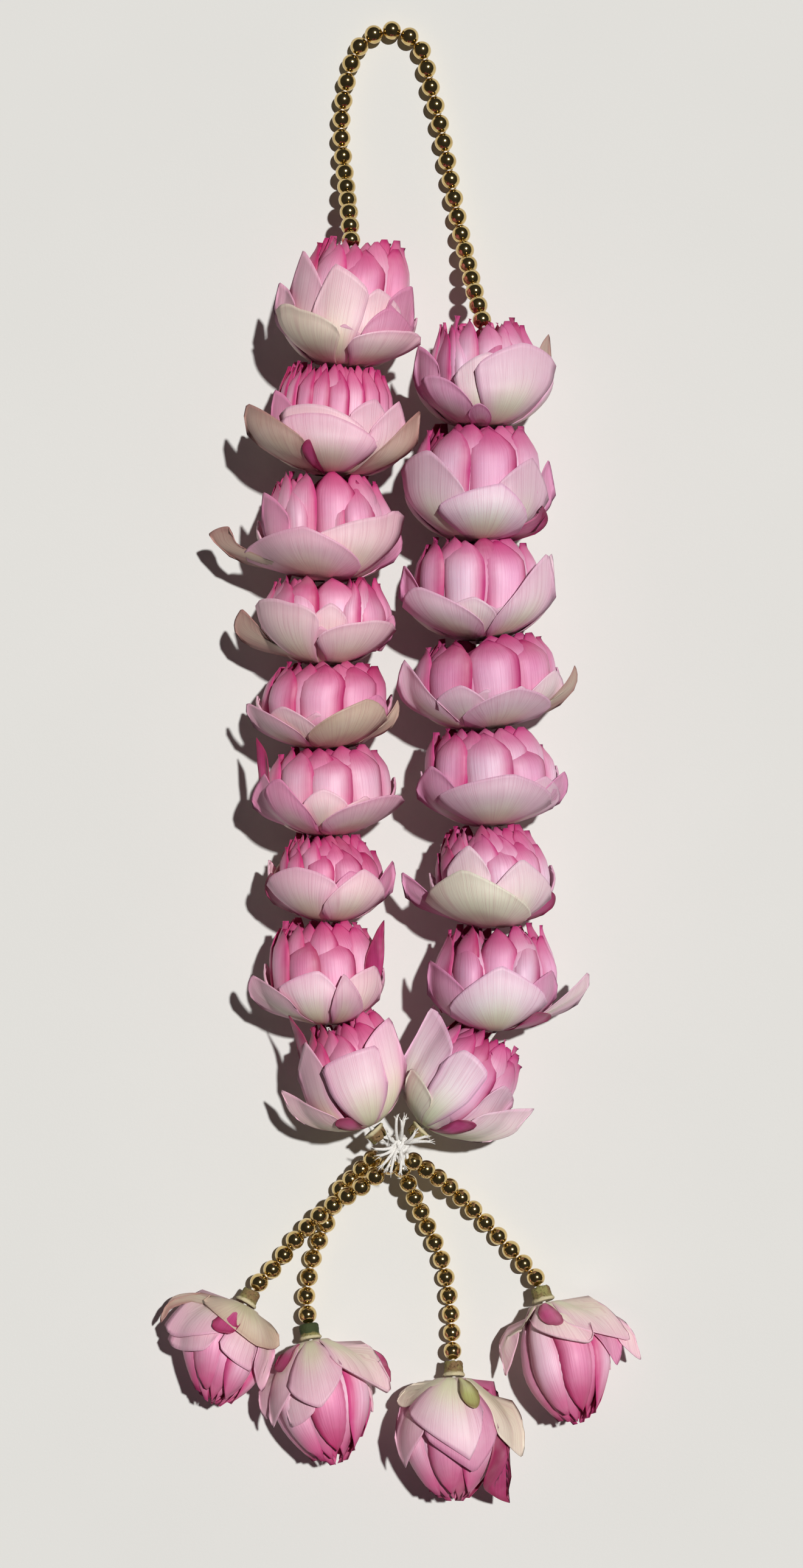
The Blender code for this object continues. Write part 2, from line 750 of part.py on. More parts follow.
def strand_blooms(side, line, rows):
    """The blooms of one strand, from the line that they are threaded on and their rows."""
    made = []
    points = [Vector(point) for point in line]
    for number, row in enumerate(rows, start=1):
        base, top = points[number], points[number - 1]
        above = points[max(0, number - 2)] - top
        turn = above.angle(top - base, 0.0)
        drop = SEAT_RADIUS * math.sin(turn)
        made.append(Bloom(f"bloom_{side}_{number}", base, top, *row, drop=drop))
    return made


def tassel_blooms():
    """The blooms below, which hang with their heads down."""
    made = []
    for number, (ends, row) in enumerate(zip(TASSEL_ENDS, TASSEL_BLOOMS), start=1):
        made.append(Bloom(f"tassel_bloom_{number}", ends[0], ends[1], *row, closed=True))
    return made


def strand_thread(name, line, lowest, finish):
    """The thread of one strand, from its top bloom through every bloom to the knot."""
    stub_end = stub_ends(lowest, KNOT_CENTRE)[1]
    last = towards(KNOT_CENTRE, stub_end, KNOT_RADIUS + SEAT_GAP)
    points = [*line, stub_end, last]
    tube(name, points, [THREAD_RADIUS] * len(points), finish)


def centre_on_floor():
    """Move every piece so that the middle of the whole garland's underside is at the origin."""
    bpy.context.view_layer.update()
    corners = []
    for piece in bpy.data.objects:
        corners += [piece.matrix_world @ Vector(corner) for corner in piece.bound_box]
    low = Vector([min(corner[axis] for corner in corners) for axis in range(3)])
    high = Vector([max(corner[axis] for corner in corners) for axis in range(3)])
    middle = Vector(((low.x + high.x) / 2, (low.y + high.y) / 2, low.z))
    for piece in bpy.data.objects:
        piece.location -= middle


def main():
    """Build the whole garland."""
    for old in list(bpy.data.objects):
        bpy.data.objects.remove(old)
    pink = material("lotus_pink", (0.80, 0.36, 0.55), 0.5)
    stem = material("dry_stem", (0.28, 0.20, 0.09), 0.8)
    gold = material("gold_bead", (0.75, 0.56, 0.25), 0.18, 1.0)
    cotton = material("white_cotton", (0.88, 0.87, 0.84), 0.9)

    left = strand_blooms("left", LEFT_LINE, LEFT_BLOOMS)
    right = strand_blooms("right", RIGHT_LINE, RIGHT_BLOOMS)
    tassels = tassel_blooms()
    for bloom in left + right + tassels:
        build_bloom(bloom, pink)

    stub("stub_left", stub_ends(left[-1], KNOT_CENTRE), stem)
    stub("stub_right", stub_ends(right[-1], KNOT_CENTRE), stem)
    strand_thread("thread_left", LEFT_LINE, left[-1], cotton)
    strand_thread("thread_right", RIGHT_LINE, right[-1], cotton)
    knot(cotton)

    bead_string("bead_loop", LOOP_ROUTE, gold)
    for number, (route, bloom) in enumerate(zip(TASSEL_ROUTES, tassels), start=1):
        ends = stub_ends(bloom, route[-1])
        stub(f"stub_tassel_{number}", ends, stem)
        lead = towards(KNOT_CENTRE, route[0], KNOT_RADIUS + KNOT_GAP)
        inside = towards(bloom.base, bloom.top, TASSEL_THREAD_DEPTH)
        bead_string(f"bead_string_{number}", route, gold, [lead], [ends[1], Vector(bloom.base), inside])
    centre_on_floor()


main()
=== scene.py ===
"""Lotus garland laid out on pale paper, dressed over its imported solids.

The garland is drawn in millimetres round the middle of the picture, with +Y up the picture, +X to its
right and +Z up from the paper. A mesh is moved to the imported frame, in metres, when it is finished.
"""

import logging
import math
import random
from dataclasses import dataclass
from enum import Enum
from typing import Callable, Iterable, Sequence

import bmesh
import bpy
from mathutils import Matrix, Vector


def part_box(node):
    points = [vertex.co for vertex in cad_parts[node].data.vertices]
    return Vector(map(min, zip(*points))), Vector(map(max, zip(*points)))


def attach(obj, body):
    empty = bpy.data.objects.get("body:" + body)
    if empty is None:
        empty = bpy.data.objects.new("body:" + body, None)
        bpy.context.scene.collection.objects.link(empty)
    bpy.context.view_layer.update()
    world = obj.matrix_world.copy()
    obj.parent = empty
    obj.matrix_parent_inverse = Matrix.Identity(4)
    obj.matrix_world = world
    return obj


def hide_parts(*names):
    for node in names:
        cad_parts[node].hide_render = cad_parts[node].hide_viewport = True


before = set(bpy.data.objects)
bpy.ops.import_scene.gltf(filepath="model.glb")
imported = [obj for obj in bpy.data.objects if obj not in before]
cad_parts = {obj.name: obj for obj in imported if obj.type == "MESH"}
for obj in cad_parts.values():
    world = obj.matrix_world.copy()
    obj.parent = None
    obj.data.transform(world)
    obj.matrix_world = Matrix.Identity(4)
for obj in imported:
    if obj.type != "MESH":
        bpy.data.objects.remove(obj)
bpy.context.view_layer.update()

MM = 0.001
BODY = "root"
LOG = logging.getLogger("lotus_garland")

Point = tuple[float, float, float]
Flat = tuple[float, float]
Colour = tuple[float, float, float, float]
Place = Callable[[float, float, float], Vector]
Mesh = bmesh.types.BMesh
Piece = bpy.types.Object
Material = bpy.types.Material
Socket = bpy.types.NodeSocket

# The lowest corner of the knot as the garland is drawn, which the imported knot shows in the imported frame
KNOT_LOW = (-11.3651, -160.8477, 23.5)
SHIFT = Vector(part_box("knot")[0]) / MM - Vector(KNOT_LOW)

# The least height of a petal above the paper
PAPER_GAP = 0.15

# Points where the blooms of a strand sit on each other, from the bead loop down to the knot
LEFT_LINE = (
    (-21, 220.5, 31), (-24.5, 171.5, 29), (-29, 127, 28), (-31, 83.5, 28),
    (-31.5, 48.5, 28), (-31, 13.5, 28), (-29, -22, 28), (-30.5, -57.5, 28),
    (-31, -100, 28), (-13, -142, 28),
)
RIGHT_LINE = (
    (33.4, 187.6, 31), (33, 146.5, 29), (31.5, 99.5, 28), (31.5, 59, 28),
    (35.5, 22, 28), (36.5, -18, 28), (38, -60, 28), (39, -102.5, 28),
    (9.5, -142, 28),
)

# The base and the top of each hanging bloom's axis
TASSEL_ENDS = (
    ((-66, -219, 12), (-84.5, -255.5, 25)),
    ((-38, -234, 12), (-28, -280.5, 26)),
    ((22, -249.5, 12), (21.5, -296, 26)),
    ((60, -218, 12), (72, -265.5, 25)),
)
KNOT_CENTRE = (-1, -149.5, 28)

# Routes of the bead strings, from their first bead to their last
LOOP_ROUTE = (
    (-20.9, 225, 31), (-21.8, 237, 23), (-23.2, 251, 12), (-24.6, 263.6, 5.5),
    (-25.5, 277.8, 4.1), (-23.9, 292.7, 4.1), (-20.1, 307.6, 4.1), (-14.7, 314.6, 4.1),
    (-6.9, 318.4, 4.1), (1.8, 316.6, 4.1), (8.5, 310.2, 4.1), (12.6, 293.5, 4.1),
    (16.5, 277.8, 4.1), (21.1, 253.6, 4.1), (23.9, 238.4, 4.5), (26.7, 224.6, 9),
    (29.3, 210.8, 18), (31.6, 200, 26), (33.3, 192, 31),
)
TASSEL_ROUTES = (
    (
        (-5.1, -158.5, 26), (-16.8, -168, 20.5), (-27.3, -175.6, 14.5), (-32.9, -179.8, 12.2),
        (-38.5, -185.5, 9), (-44.1, -191.2, 6.5), (-53, -203.2, 4.5), (-60, -210, 7.8),
    ),
    (
        (-12.2, -156.7, 18.5), (-21, -166.2, 9.5), (-25.7, -171.1, 5), (-31.6, -185.2, 4),
        (-37.3, -199.8, 4), (-40.2, -215.8, 5.5), (-39.6, -223.5, 8),
    ),
    (
        (0.3, -160.8, 19), (5.9, -174.7, 11.5), (11.6, -188, 5), (17, -201.1, 4),
        (20.1, -216.6, 4), (21.2, -231.5, 5.5), (21.5, -238.8, 8),
    ),
    (
        (5, -156.9, 25), (13, -162.8, 18.5), (22.5, -171.5, 10), (32.9, -182.2, 5),
        (43.2, -193.4, 4), (51.5, -202.3, 5.5), (56.6, -207.8, 8.2),
    ),
)


class Tone(Enum):
    """How a petal has coloured, as the colours of its root, its middle and its rim."""

    ROSE = ((0.88, 0.45, 0.61), (0.88, 0.385, 0.59), (0.56, 0.025, 0.17))
    BLUSH = ((0.90, 0.59, 0.70), (0.90, 0.53, 0.69), (0.62, 0.05, 0.22))
    DEEP = ((0.82, 0.34, 0.50), (0.80, 0.27, 0.47), (0.46, 0.015, 0.12))
    LILAC = ((0.76, 0.69, 0.50), (0.75, 0.49, 0.55), (0.78, 0.40, 0.54))
    MAUVE = ((0.68, 0.50, 0.45), (0.70, 0.32, 0.46), (0.70, 0.24, 0.42))
    SHELL = ((0.82, 0.76, 0.55), (0.86, 0.63, 0.63), (0.84, 0.49, 0.60))
    PALE = ((0.88, 0.84, 0.58), (0.90, 0.68, 0.72), (0.84, 0.43, 0.60))
    CREAM = ((0.68, 0.62, 0.44), (0.74, 0.62, 0.50), (0.80, 0.66, 0.55))
    OLIVE = ((0.58, 0.52, 0.34), (0.64, 0.51, 0.39), (0.55, 0.38, 0.30))
    GREEN = ((0.68, 0.66, 0.32), (0.48, 0.50, 0.18), (0.26, 0.20, 0.07))
    PEACH = ((0.62, 0.53, 0.38), (0.58, 0.42, 0.34), (0.42, 0.22, 0.19))
    MAGENTA = ((0.66, 0.14, 0.32), (0.56, 0.06, 0.22), (0.30, 0.014, 0.08))
    # SHADOW is for the bud's core: a dark deep pink, partly the packed inner petals' own colour and partly
    # painted shade in the gaps between them
    SHADOW = ((0.30, 0.03, 0.09), (0.34, 0.04, 0.12), (0.30, 0.02, 0.09))


@dataclass(frozen=True)
class Outer:
    """An outer petal that the picture shows: its corners and its tip, from its bloom's base along +X and +Y.

    layer is how far out it lies, roll how far its rim curls out and fold how deep its rim is turned down
    over its face.
    """

    left: Flat
    tip: Flat
    right: Flat
    layer: float
    tone: Tone
    roll: float = 0.5
    fold: float = 0.0


@dataclass(frozen=True)
class BudRing:
    """One ring of inner petals: how many, how high they reach, how far in they stand and lean."""

    count: int
    reach: float
    inset: float
    close: float


FEW = (BudRing(8, 0.97, 0.0, 0.10), BudRing(8, 1.02, 2.8, 0.12), BudRing(7, 1.03, 5.4, 0.16))
SOME = (BudRing(9, 0.94, 0.0, 0.10), BudRing(9, 1.0, 2.6, 0.12), BudRing(8, 1.03, 5.0, 0.16))
MANY = (
    BudRing(11, 0.84, 0.0, 0.05),
    BudRing(11, 0.95, 2.2, 0.10),
    BudRing(10, 1.02, 4.2, 0.14),
    BudRing(9, 1.03, 6.0, 0.16),
)
RIDGED = (BudRing(19, 0.98, 0.0, 0.10), BudRing(17, 1.02, 1.9, 0.12), BudRing(13, 1.03, 3.8, 0.16))
HANGING = (BudRing(7, 0.95, 0.0, 0.12), BudRing(7, 0.99, 2.2, 0.16), BudRing(6, 1.0, 4.0, 0.24))
WHOLE = ((0.0, 1.0),)


@dataclass(frozen=True)
class BloomRow:
    """What the picture shows of one bloom: the edges of its bowl and bud, and its petals.

    front is the angle in degrees of an inner petal of the outermost ring. groups has the middle and the
    half width of each cluster of inner petals, as shares of the bud's half width.
    """

    bowl: Flat
    bud: Flat
    bud_height: float
    rings: tuple[BudRing, ...]
    front: float
    petals: tuple[Outer, ...]
    groups: tuple[Flat, ...] = WHOLE


LILAC, MAUVE, SHELL, CREAM = Tone.LILAC, Tone.MAUVE, Tone.SHELL, Tone.CREAM
OLIVE, PEACH, MAGENTA, PALE, GREEN = Tone.OLIVE, Tone.PEACH, Tone.MAGENTA, Tone.PALE, Tone.GREEN

LEFT_BLOOMS = (
    BloomRow((-27, 33), (-14.5, 30), 56, FEW, 11, (
        Outer((-24.5, 25.5), (-16, 22.5), (0, 14), 3, CREAM, 0.8),
        Outer((-13, 22), (-3, 41), (12, 30), 1, SHELL),
        Outer((3, 10), (24, 14), (32, 12), 3, SHELL),
        Outer((9, 15), (19.7, 23.5), (30, 13), 2, MAUVE),
        Outer((-23.5, 34), (-18, 48), (-8, 31), 0, LILAC),
        Outer((20, 26), (31, 33), (32, 18), 0, MAUVE, 0.8),
        Outer((-28.5, 27), (-26.5, 35.5), (-19, 25), 1, LILAC, 0.8),
        Outer((6, 22), (16, 31), (27, 22), 0, SHELL),
    )),
    BloomRow((-34, 36), (-22, 26), 45, RIDGED, 4, (
        Outer((-32, 19), (-31.5, 29.5), (-8.4, 12.8), 4, PEACH, 0.5),
        Outer((-27, 24), (-25, 35), (-16, 27), 0, MAUVE),
        Outer((-19.8, 22.6), (0, 23.5), (19, 12.8), 3, LILAC, 0.3),
        Outer((-21, 27), (-2, 27.3), (16, 17.5), 1, SHELL, 0.4),
        Outer((8, 24), (20, 30.5), (27, 19), 0, LILAC),
        Outer((14, 6), (35, 27.5), (34, 16), 3, PEACH, 0.6),
        Outer((16, 17), (29, 30), (32, 18), 1, LILAC, 0.8),
        Outer((-10, 9), (-7, 13), (-3, 3), 5, MAGENTA, 0.0),
    )),
    BloomRow((-31, 33), (-26.5, 27), 44, SOME, 8, (
        Outer((-40, 13), (-47, 20), (-38, 23), 3, PEACH, 1.0),
        Outer((-29, 26), (-28, 36.5), (-16, 26), 0, MAUVE, 0.6),
        Outer((-34, 11), (-8, 21), (13, 3), 3, LILAC),
        Outer((-6, 17), (25, 26), (33, 29), 1, SHELL),
        Outer((20, 12), (32, 22), (32, 10), 0, MAUVE),
    ), ((-0.56, 0.46), (0.44, 0.58))),
    BloomRow((-29, 29), (-27, 27), 36, FEW, -30, (
        Outer((-28, 27), (-14, 25), (-2, 20), 2, SHELL),
        Outer((-38, 13), (-36, 24), (-26, 14), 1, PEACH, 0.5),
        Outer((-3, 11.5), (14, 17), (28, 17), 3, SHELL),
        Outer((22, 14), (29, 21), (29, 13), 1, MAUVE, 0.6),
        Outer((-8, 16), (3, 25), (11, 18), 0, SHELL),
    ), ((-0.48, 0.52), (0.56, 0.46))),
    BloomRow((-31, 29), (-24, 25.5), 36, FEW, -9, (
        Outer((-30, 12), (-31, 20), (-8, 6), 3, LILAC, 0.4),
        Outer((-24, 12), (-17, 18), (-2, 8), 2, SHELL),
        Outer((-7, 5), (15.5, 21), (23, 15), 4, OLIVE, 0.5),
        Outer((17, 6), (29, 21), (28, 12), 2, OLIVE, 0.5),
        Outer((10, 14), (22, 23), (27, 16), 1, MAUVE),
    )),
    BloomRow((-31, 29), (-26, 23), 37, FEW, 3, (
        Outer((-34, 14), (-28, 26), (-22, 14), 1, MAUVE, 0.8),
        Outer((-26, 20), (-19, 24), (-6, 8), 3, MAUVE),
        Outer((-12, 12), (-3, 20), (8, 13), 2, SHELL),
        Outer((-4, 5), (13, 15), (28, 17), 4, LILAC),
        Outer((-33, 32), (-34, 41), (-29, 32), 0, MAGENTA, 0.2),
    )),
    BloomRow((-27, 29), (-21, 21), 36, MANY, -12, (
        Outer((-25, 18), (-12, 23.5), (5, 17), 2, LILAC),
        Outer((-2, 7), (14, 23), (23, 13), 3, SHELL),
        Outer((17, 12), (27.5, 26), (28, 15), 1, MAUVE, 1.0),
        Outer((-26, 10), (-24, 21), (-14, 12), 1, MAGENTA),
        Outer((2, 14), (10, 22), (18, 16), 1, MAUVE),
    )),
    BloomRow((-28, 26), (-24, 20), 43, SOME, 14, (
        Outer((18, 28), (27, 44), (25, 26), 0, MAGENTA, 0.2),
        Outer((-28, 9), (-29, 21), (-12, 11), 3, LILAC),
        Outer((-20, 16), (-3, 24), (6, 15), 2, PALE),
        Outer((6, 17), (21, 25.5), (24, 13), 1, SHELL),
        Outer((2, 10), (7, 23), (13, 6), 3, LILAC, 0.8),
    )),
    BloomRow((-33, 18), (-32, 12), 47, SOME, -6, (
        Outer((-33, 32), (-36, 46), (-27, 34), 0, MAGENTA, 0.2),
        Outer((-3, 34), (8, 46), (14, 28), 2, PALE, 0.4),
        Outer((-19, 27), (2, 35), (6, 22), 3, PALE),
        Outer((-30, 6), (-36, 16), (-12, 6), 3, SHELL, 0.4),
        Outer((-31, 22), (-27, 36), (-18, 24), 1, LILAC),
        Outer((-12.5, 3), (-9, 6), (-4.5, 4), 4, MAGENTA),
    )),
)
RIGHT_BLOOMS = (
    BloomRow((-29, 32), (-20.5, 23), 48, SOME, -34, (
        Outer((23, 26), (30, 39), (31, 26), 0, PEACH, 0.6),
        Outer((-3, 25), (16, 34), (30, 28), 2, LILAC),
        Outer((-23, 21), (-12, 18), (-2, 6), 3, MAUVE, 0.8),
        Outer((-29, 24), (-27, 34), (-18, 25), 1, MAUVE, 0.6),
        Outer((-12, 22), (2, 30), (14, 24), 1, SHELL),
        Outer((-5, 4), (-1, 9), (3, 2), 4, MAUVE),
    ), ((-0.62, 0.40), (0.36, 0.68))),
    BloomRow((-32, 32), (-25.5, 26), 48, FEW, 11, (
        Outer((-31, 32), (-20, 37), (-5, 20), 2, LILAC, 0.5),
        Outer((-17, 14), (9, 23), (18, 6), 3, PALE, 0.3),
        Outer((7, 22), (23, 34), (30, 20), 1, LILAC),
        Outer((27, 22), (31, 34), (32, 22), 0, MAUVE, 1.2),
        Outer((20, 3), (25, 15), (27, 7), 2, MAGENTA, 1.0),
    )),
    BloomRow((-33, 33), (-25.5, 24), 42, FEW, -14, (
        Outer((-33, 20), (-31, 31), (-24, 20), 1, MAUVE, 1.2),
        Outer((-30, 16), (-23, 21.5), (3, 5), 3, LILAC),
        Outer((-14, 10), (-2, 17), (8, 8), 2, SHELL),
        Outer((4, 6), (27, 36), (30, 20), 3, LILAC, 0.6),
        Outer((24, 24), (32, 36), (33, 22), 1, SHELL),
    )),
    BloomRow((-34, 33), (-30, 28), 38, FEW, 7, (
        Outer((-37, 20), (-34, 29), (-14, 6), 2, LILAC, 0.6),
        Outer((-22, 11), (-11, 18), (1, 9), 2, LILAC),
        Outer((-11, 4), (11, 17), (24, 8), 3, LILAC),
        Outer((20, 8), (36, 27), (33, 13), 2, PEACH, 0.4),
        Outer((16, 14), (29, 25), (31, 14), 1, SHELL),
    )),
    BloomRow((-30, 31), (-27, 25), 41, FEW, -5, (
        Outer((-22, 13), (8, 22), (25, 12), 3, LILAC),
        Outer((-30, 14), (-24, 25.5), (-12, 14), 2, MAUVE, 0.8),
        Outer((20, 14), (30, 23), (30, 12), 2, MAUVE, 0.8),
        Outer((12, 14), (22, 21), (28, 10), 2, LILAC),
    )),
    BloomRow((-28, 28), (-26, 20), 42, MANY, 5, (
        Outer((-26, 14), (-11.5, 25.5), (12, 4), 4, CREAM, 0.4),
        Outer((-3, 15), (11, 29.5), (24, 15), 2, SHELL),
        Outer((-21, 24), (-11, 35), (-2, 25), 1, SHELL),
        Outer((-36, 15), (-37, 23.5), (-22, 12), 2, MAUVE, 1.2),
        Outer((16, 6), (24, 16), (25, 8), 1, MAGENTA),
    )),
    BloomRow((-28, 27), (-25, 25), 43, SOME, 0, (
        Outer((-19, 9), (1, 29), (20, 15), 3, PALE),
        Outer((-28, 18), (-27, 30), (-12, 18), 2, MAUVE, 0.8),
        Outer((14, 5), (38.5, 24.5), (36, 13), 2, SHELL, 0.5),
        Outer((10, 16), (24, 26), (27, 16), 1, MAUVE),
        Outer((8, 4), (14, 9), (18, 4), 4, MAGENTA),
    ), ((-0.50, 0.54), (0.52, 0.52))),
    BloomRow((-9, 45), (2, 53), 47, SOME, 10, (
        Outer((-7.5, 29), (3.5, 50.5), (12.5, 33), 2, PALE, 0.6),
        Outer((9, 29), (17, 33), (26, 24), 3, PALE),
        Outer((22, 8), (45, 8), (28, -4), 3, SHELL, 0.5),
        Outer((23, 12), (33, 18), (38, 10), 1, LILAC),
        Outer((-7, 14), (-4, 24), (4, 12), 3, CREAM, 0.8),
        Outer((10, 4.5), (14, 5.5), (20, 3.5), 4, MAGENTA),
    )),
)
TASSEL_BLOOMS = (
    BloomRow((-31, 12), (-26, 4), 42, HANGING, 20, (
        Outer((-16, 2), (1, -18), (13.2, -14.3), 4, OLIVE, 0.6),
        Outer((-34, -9), (-33, -3.5), (-22, 4), 3, PEACH, 0.6),
        Outer((-33, -12), (-24, -15), (-6, -12), 3, LILAC, 0.4),
        Outer((-15, -11), (-10, -14), (-5, -12.5), 4, MAGENTA),
        Outer((-32, -18), (-19, -21), (-12, -15), 2, LILAC, 0.5),
        Outer((-13, -20), (0.8, -29.5), (2, -16), 2, LILAC),
        Outer((1.3, -27.5), (6.3, -37), (11, -23), 2, LILAC),
    )),
    BloomRow((-17, 28), (-5, 24), 51, HANGING, -12, (
        Outer((-21, -27.5), (-17, -33.5), (-10, -20), 2, LILAC, 0.4),
        Outer((-14.5, -34), (-13, -37), (-3.5, -20), 3, LILAC, 0.6),
        Outer((-6, -23), (6.8, -30.6), (14.4, -14), 4, LILAC, 0.4),
        Outer((10, -11), (31.5, -23.5), (28, -12), 4, SHELL, 0.3, 0.8),
        Outer((-9, -30), (-6, -38), (5, -31), 1, LILAC),
        Outer((24, -8), (34, -10), (33, -21), 0, MAGENTA),
        Outer((-12, -9), (-9, -14), (-5, -7), 4, MAGENTA, 0.6),
    )),
    BloomRow((-24, 24), (-20, 20), 50, HANGING, 8, (
        Outer((-18, -16.5), (5.5, -37), (11, -18), 4, PALE, 0.2),
        Outer((-12, -28), (7.5, -42), (17.5, -25), 3, MAUVE, 0.2),
        Outer((16, -25), (27, -34), (28, -26), 3, CREAM, 0.5),
        Outer((11.4, -46), (24.5, -53), (21.5, -33), 1, MAGENTA),
        Outer((1.8, -10), (6.8, -15.2), (8.2, -9.5), 6, GREEN, 0.4),
        Outer((-24, -18), (-20.5, -39), (-12, -24), 2, LILAC, 0.3),
        Outer((-22, -8), (-19, -13), (-8, -8), 3, CREAM, 0.4),
    )),
    BloomRow((-10.4, 30), (-2, 27), 51, HANGING, -20, (
        Outer((-17.6, -24), (-16, -31), (-10.5, -16), 2, SHELL, 0.3),
        Outer((-4, -10.8), (17.3, -19), (19.4, -13), 4, SHELL, 0.3, 1.2),
        Outer((-1, -7), (4, -10.5), (8, -9), 5, MAGENTA, 0.4),
        Outer((8, -10), (33.5, -16.7), (31, -10), 4, SHELL, 0.4),
        Outer((30, -17), (39.5, -24.3), (37, -17), 3, SHELL, 0.4),
        Outer((19, -13), (30, -27), (32, -17), 2, MAUVE, 0.6),
    )),
)

# Angle in degrees, share of the bowl's depth, layer and tone of the plain outer petals all round a bloom
ROUND_PETALS = (
    (-75, 0.80, 0.2, MAUVE), (-38, 0.76, 0.0, SHELL), (-2, 0.78, 0.3, LILAC), (33, 0.76, 0.1, SHELL),
    (70, 0.80, 0.3, MAUVE), (104, 1.16, 1.0, LILAC), (146, 1.22, 0.6, CREAM), (186, 1.14, 1.2, LILAC),
    (226, 1.22, 0.7, CREAM), (262, 1.14, 1.1, SHELL),
)

# What the colours of each side's petals are multiplied by: the right strand is a little bluer
CASTS = {"left": (1.0, 1.0, 1.0), "right": (0.95, 1.07, 1.06), "tassel": (0.99, 1.03, 1.0)}

# Cut ends of the cotton, from the middle of the knot
COTTON_ENDS = (
    (-1, 12), (1, 11), (2.5, 12), (-5, 6), (6.5, 5.5), (13, 2), (11, 4), (-10, -1), (-8, -4),
    (-7, -8), (-3.5, -10.5), (-5, -9), (0.5, -11), (2, -8),
)


def mix(start: Sequence[float], end: Sequence[float], share: float) -> list[float]:
    """Values between two lists of values."""
    return [a + (b - a) * share for a, b in zip(start, end)]


def ease(low: float, high: float, value: float) -> float:
    """A smooth step from 0 at low to 1 at high."""
    share = min(1.0, max(0.0, (value - low) / (high - low)))
    return share * share * (3.0 - 2.0 * share)


def towards(start: Point, end: Point, distance: float) -> Vector:
    """The point at a distance from one point towards another."""
    first, last = Vector(start), Vector(end)
    return first + (last - first).normalized() * distance


def thinned(depth: float, u: float, v: float) -> float:
    """A depth under a petal's face, less towards its rim at u across and v along."""
    return depth * (1.0 - 0.6 * max(abs(u), v) ** 8)


def faces_of(verts: Iterable[bmesh.types.BMVert]) -> list[bmesh.types.BMFace]:
    """Every face that meets one of the vertices, in the same order each run."""
    return list(dict.fromkeys(face for vert in verts for face in vert.link_faces))


def object_from(bm: Mesh, name: str, *materials: Material) -> Piece:
    """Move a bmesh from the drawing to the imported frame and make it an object.

    Args:
        bm: the mesh in millimetres, which is freed.
        name: the object's name.
        materials: the finishes that its faces number.

    Returns:
        The object, at the origin, with its place in its mesh.
    """
    bmesh.ops.transform(bm, matrix=Matrix.Scale(MM, 4) @ Matrix.Translation(SHIFT), verts=bm.verts)
    mesh = bpy.data.meshes.new(name)
    bm.to_mesh(mesh)
    bm.free()
    made = bpy.data.objects.new(name, mesh)
    bpy.context.scene.collection.objects.link(made)
    for material in materials:
        mesh.materials.append(material)
    return made


def dress(piece: Piece, node: str) -> None:
    """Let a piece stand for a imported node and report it.

    Args:
        piece: the finished piece.
        node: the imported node.
    """
    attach(piece, BODY)
    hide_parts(node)
    LOG.info("%s: %d faces", piece.name, len(piece.data.polygons))


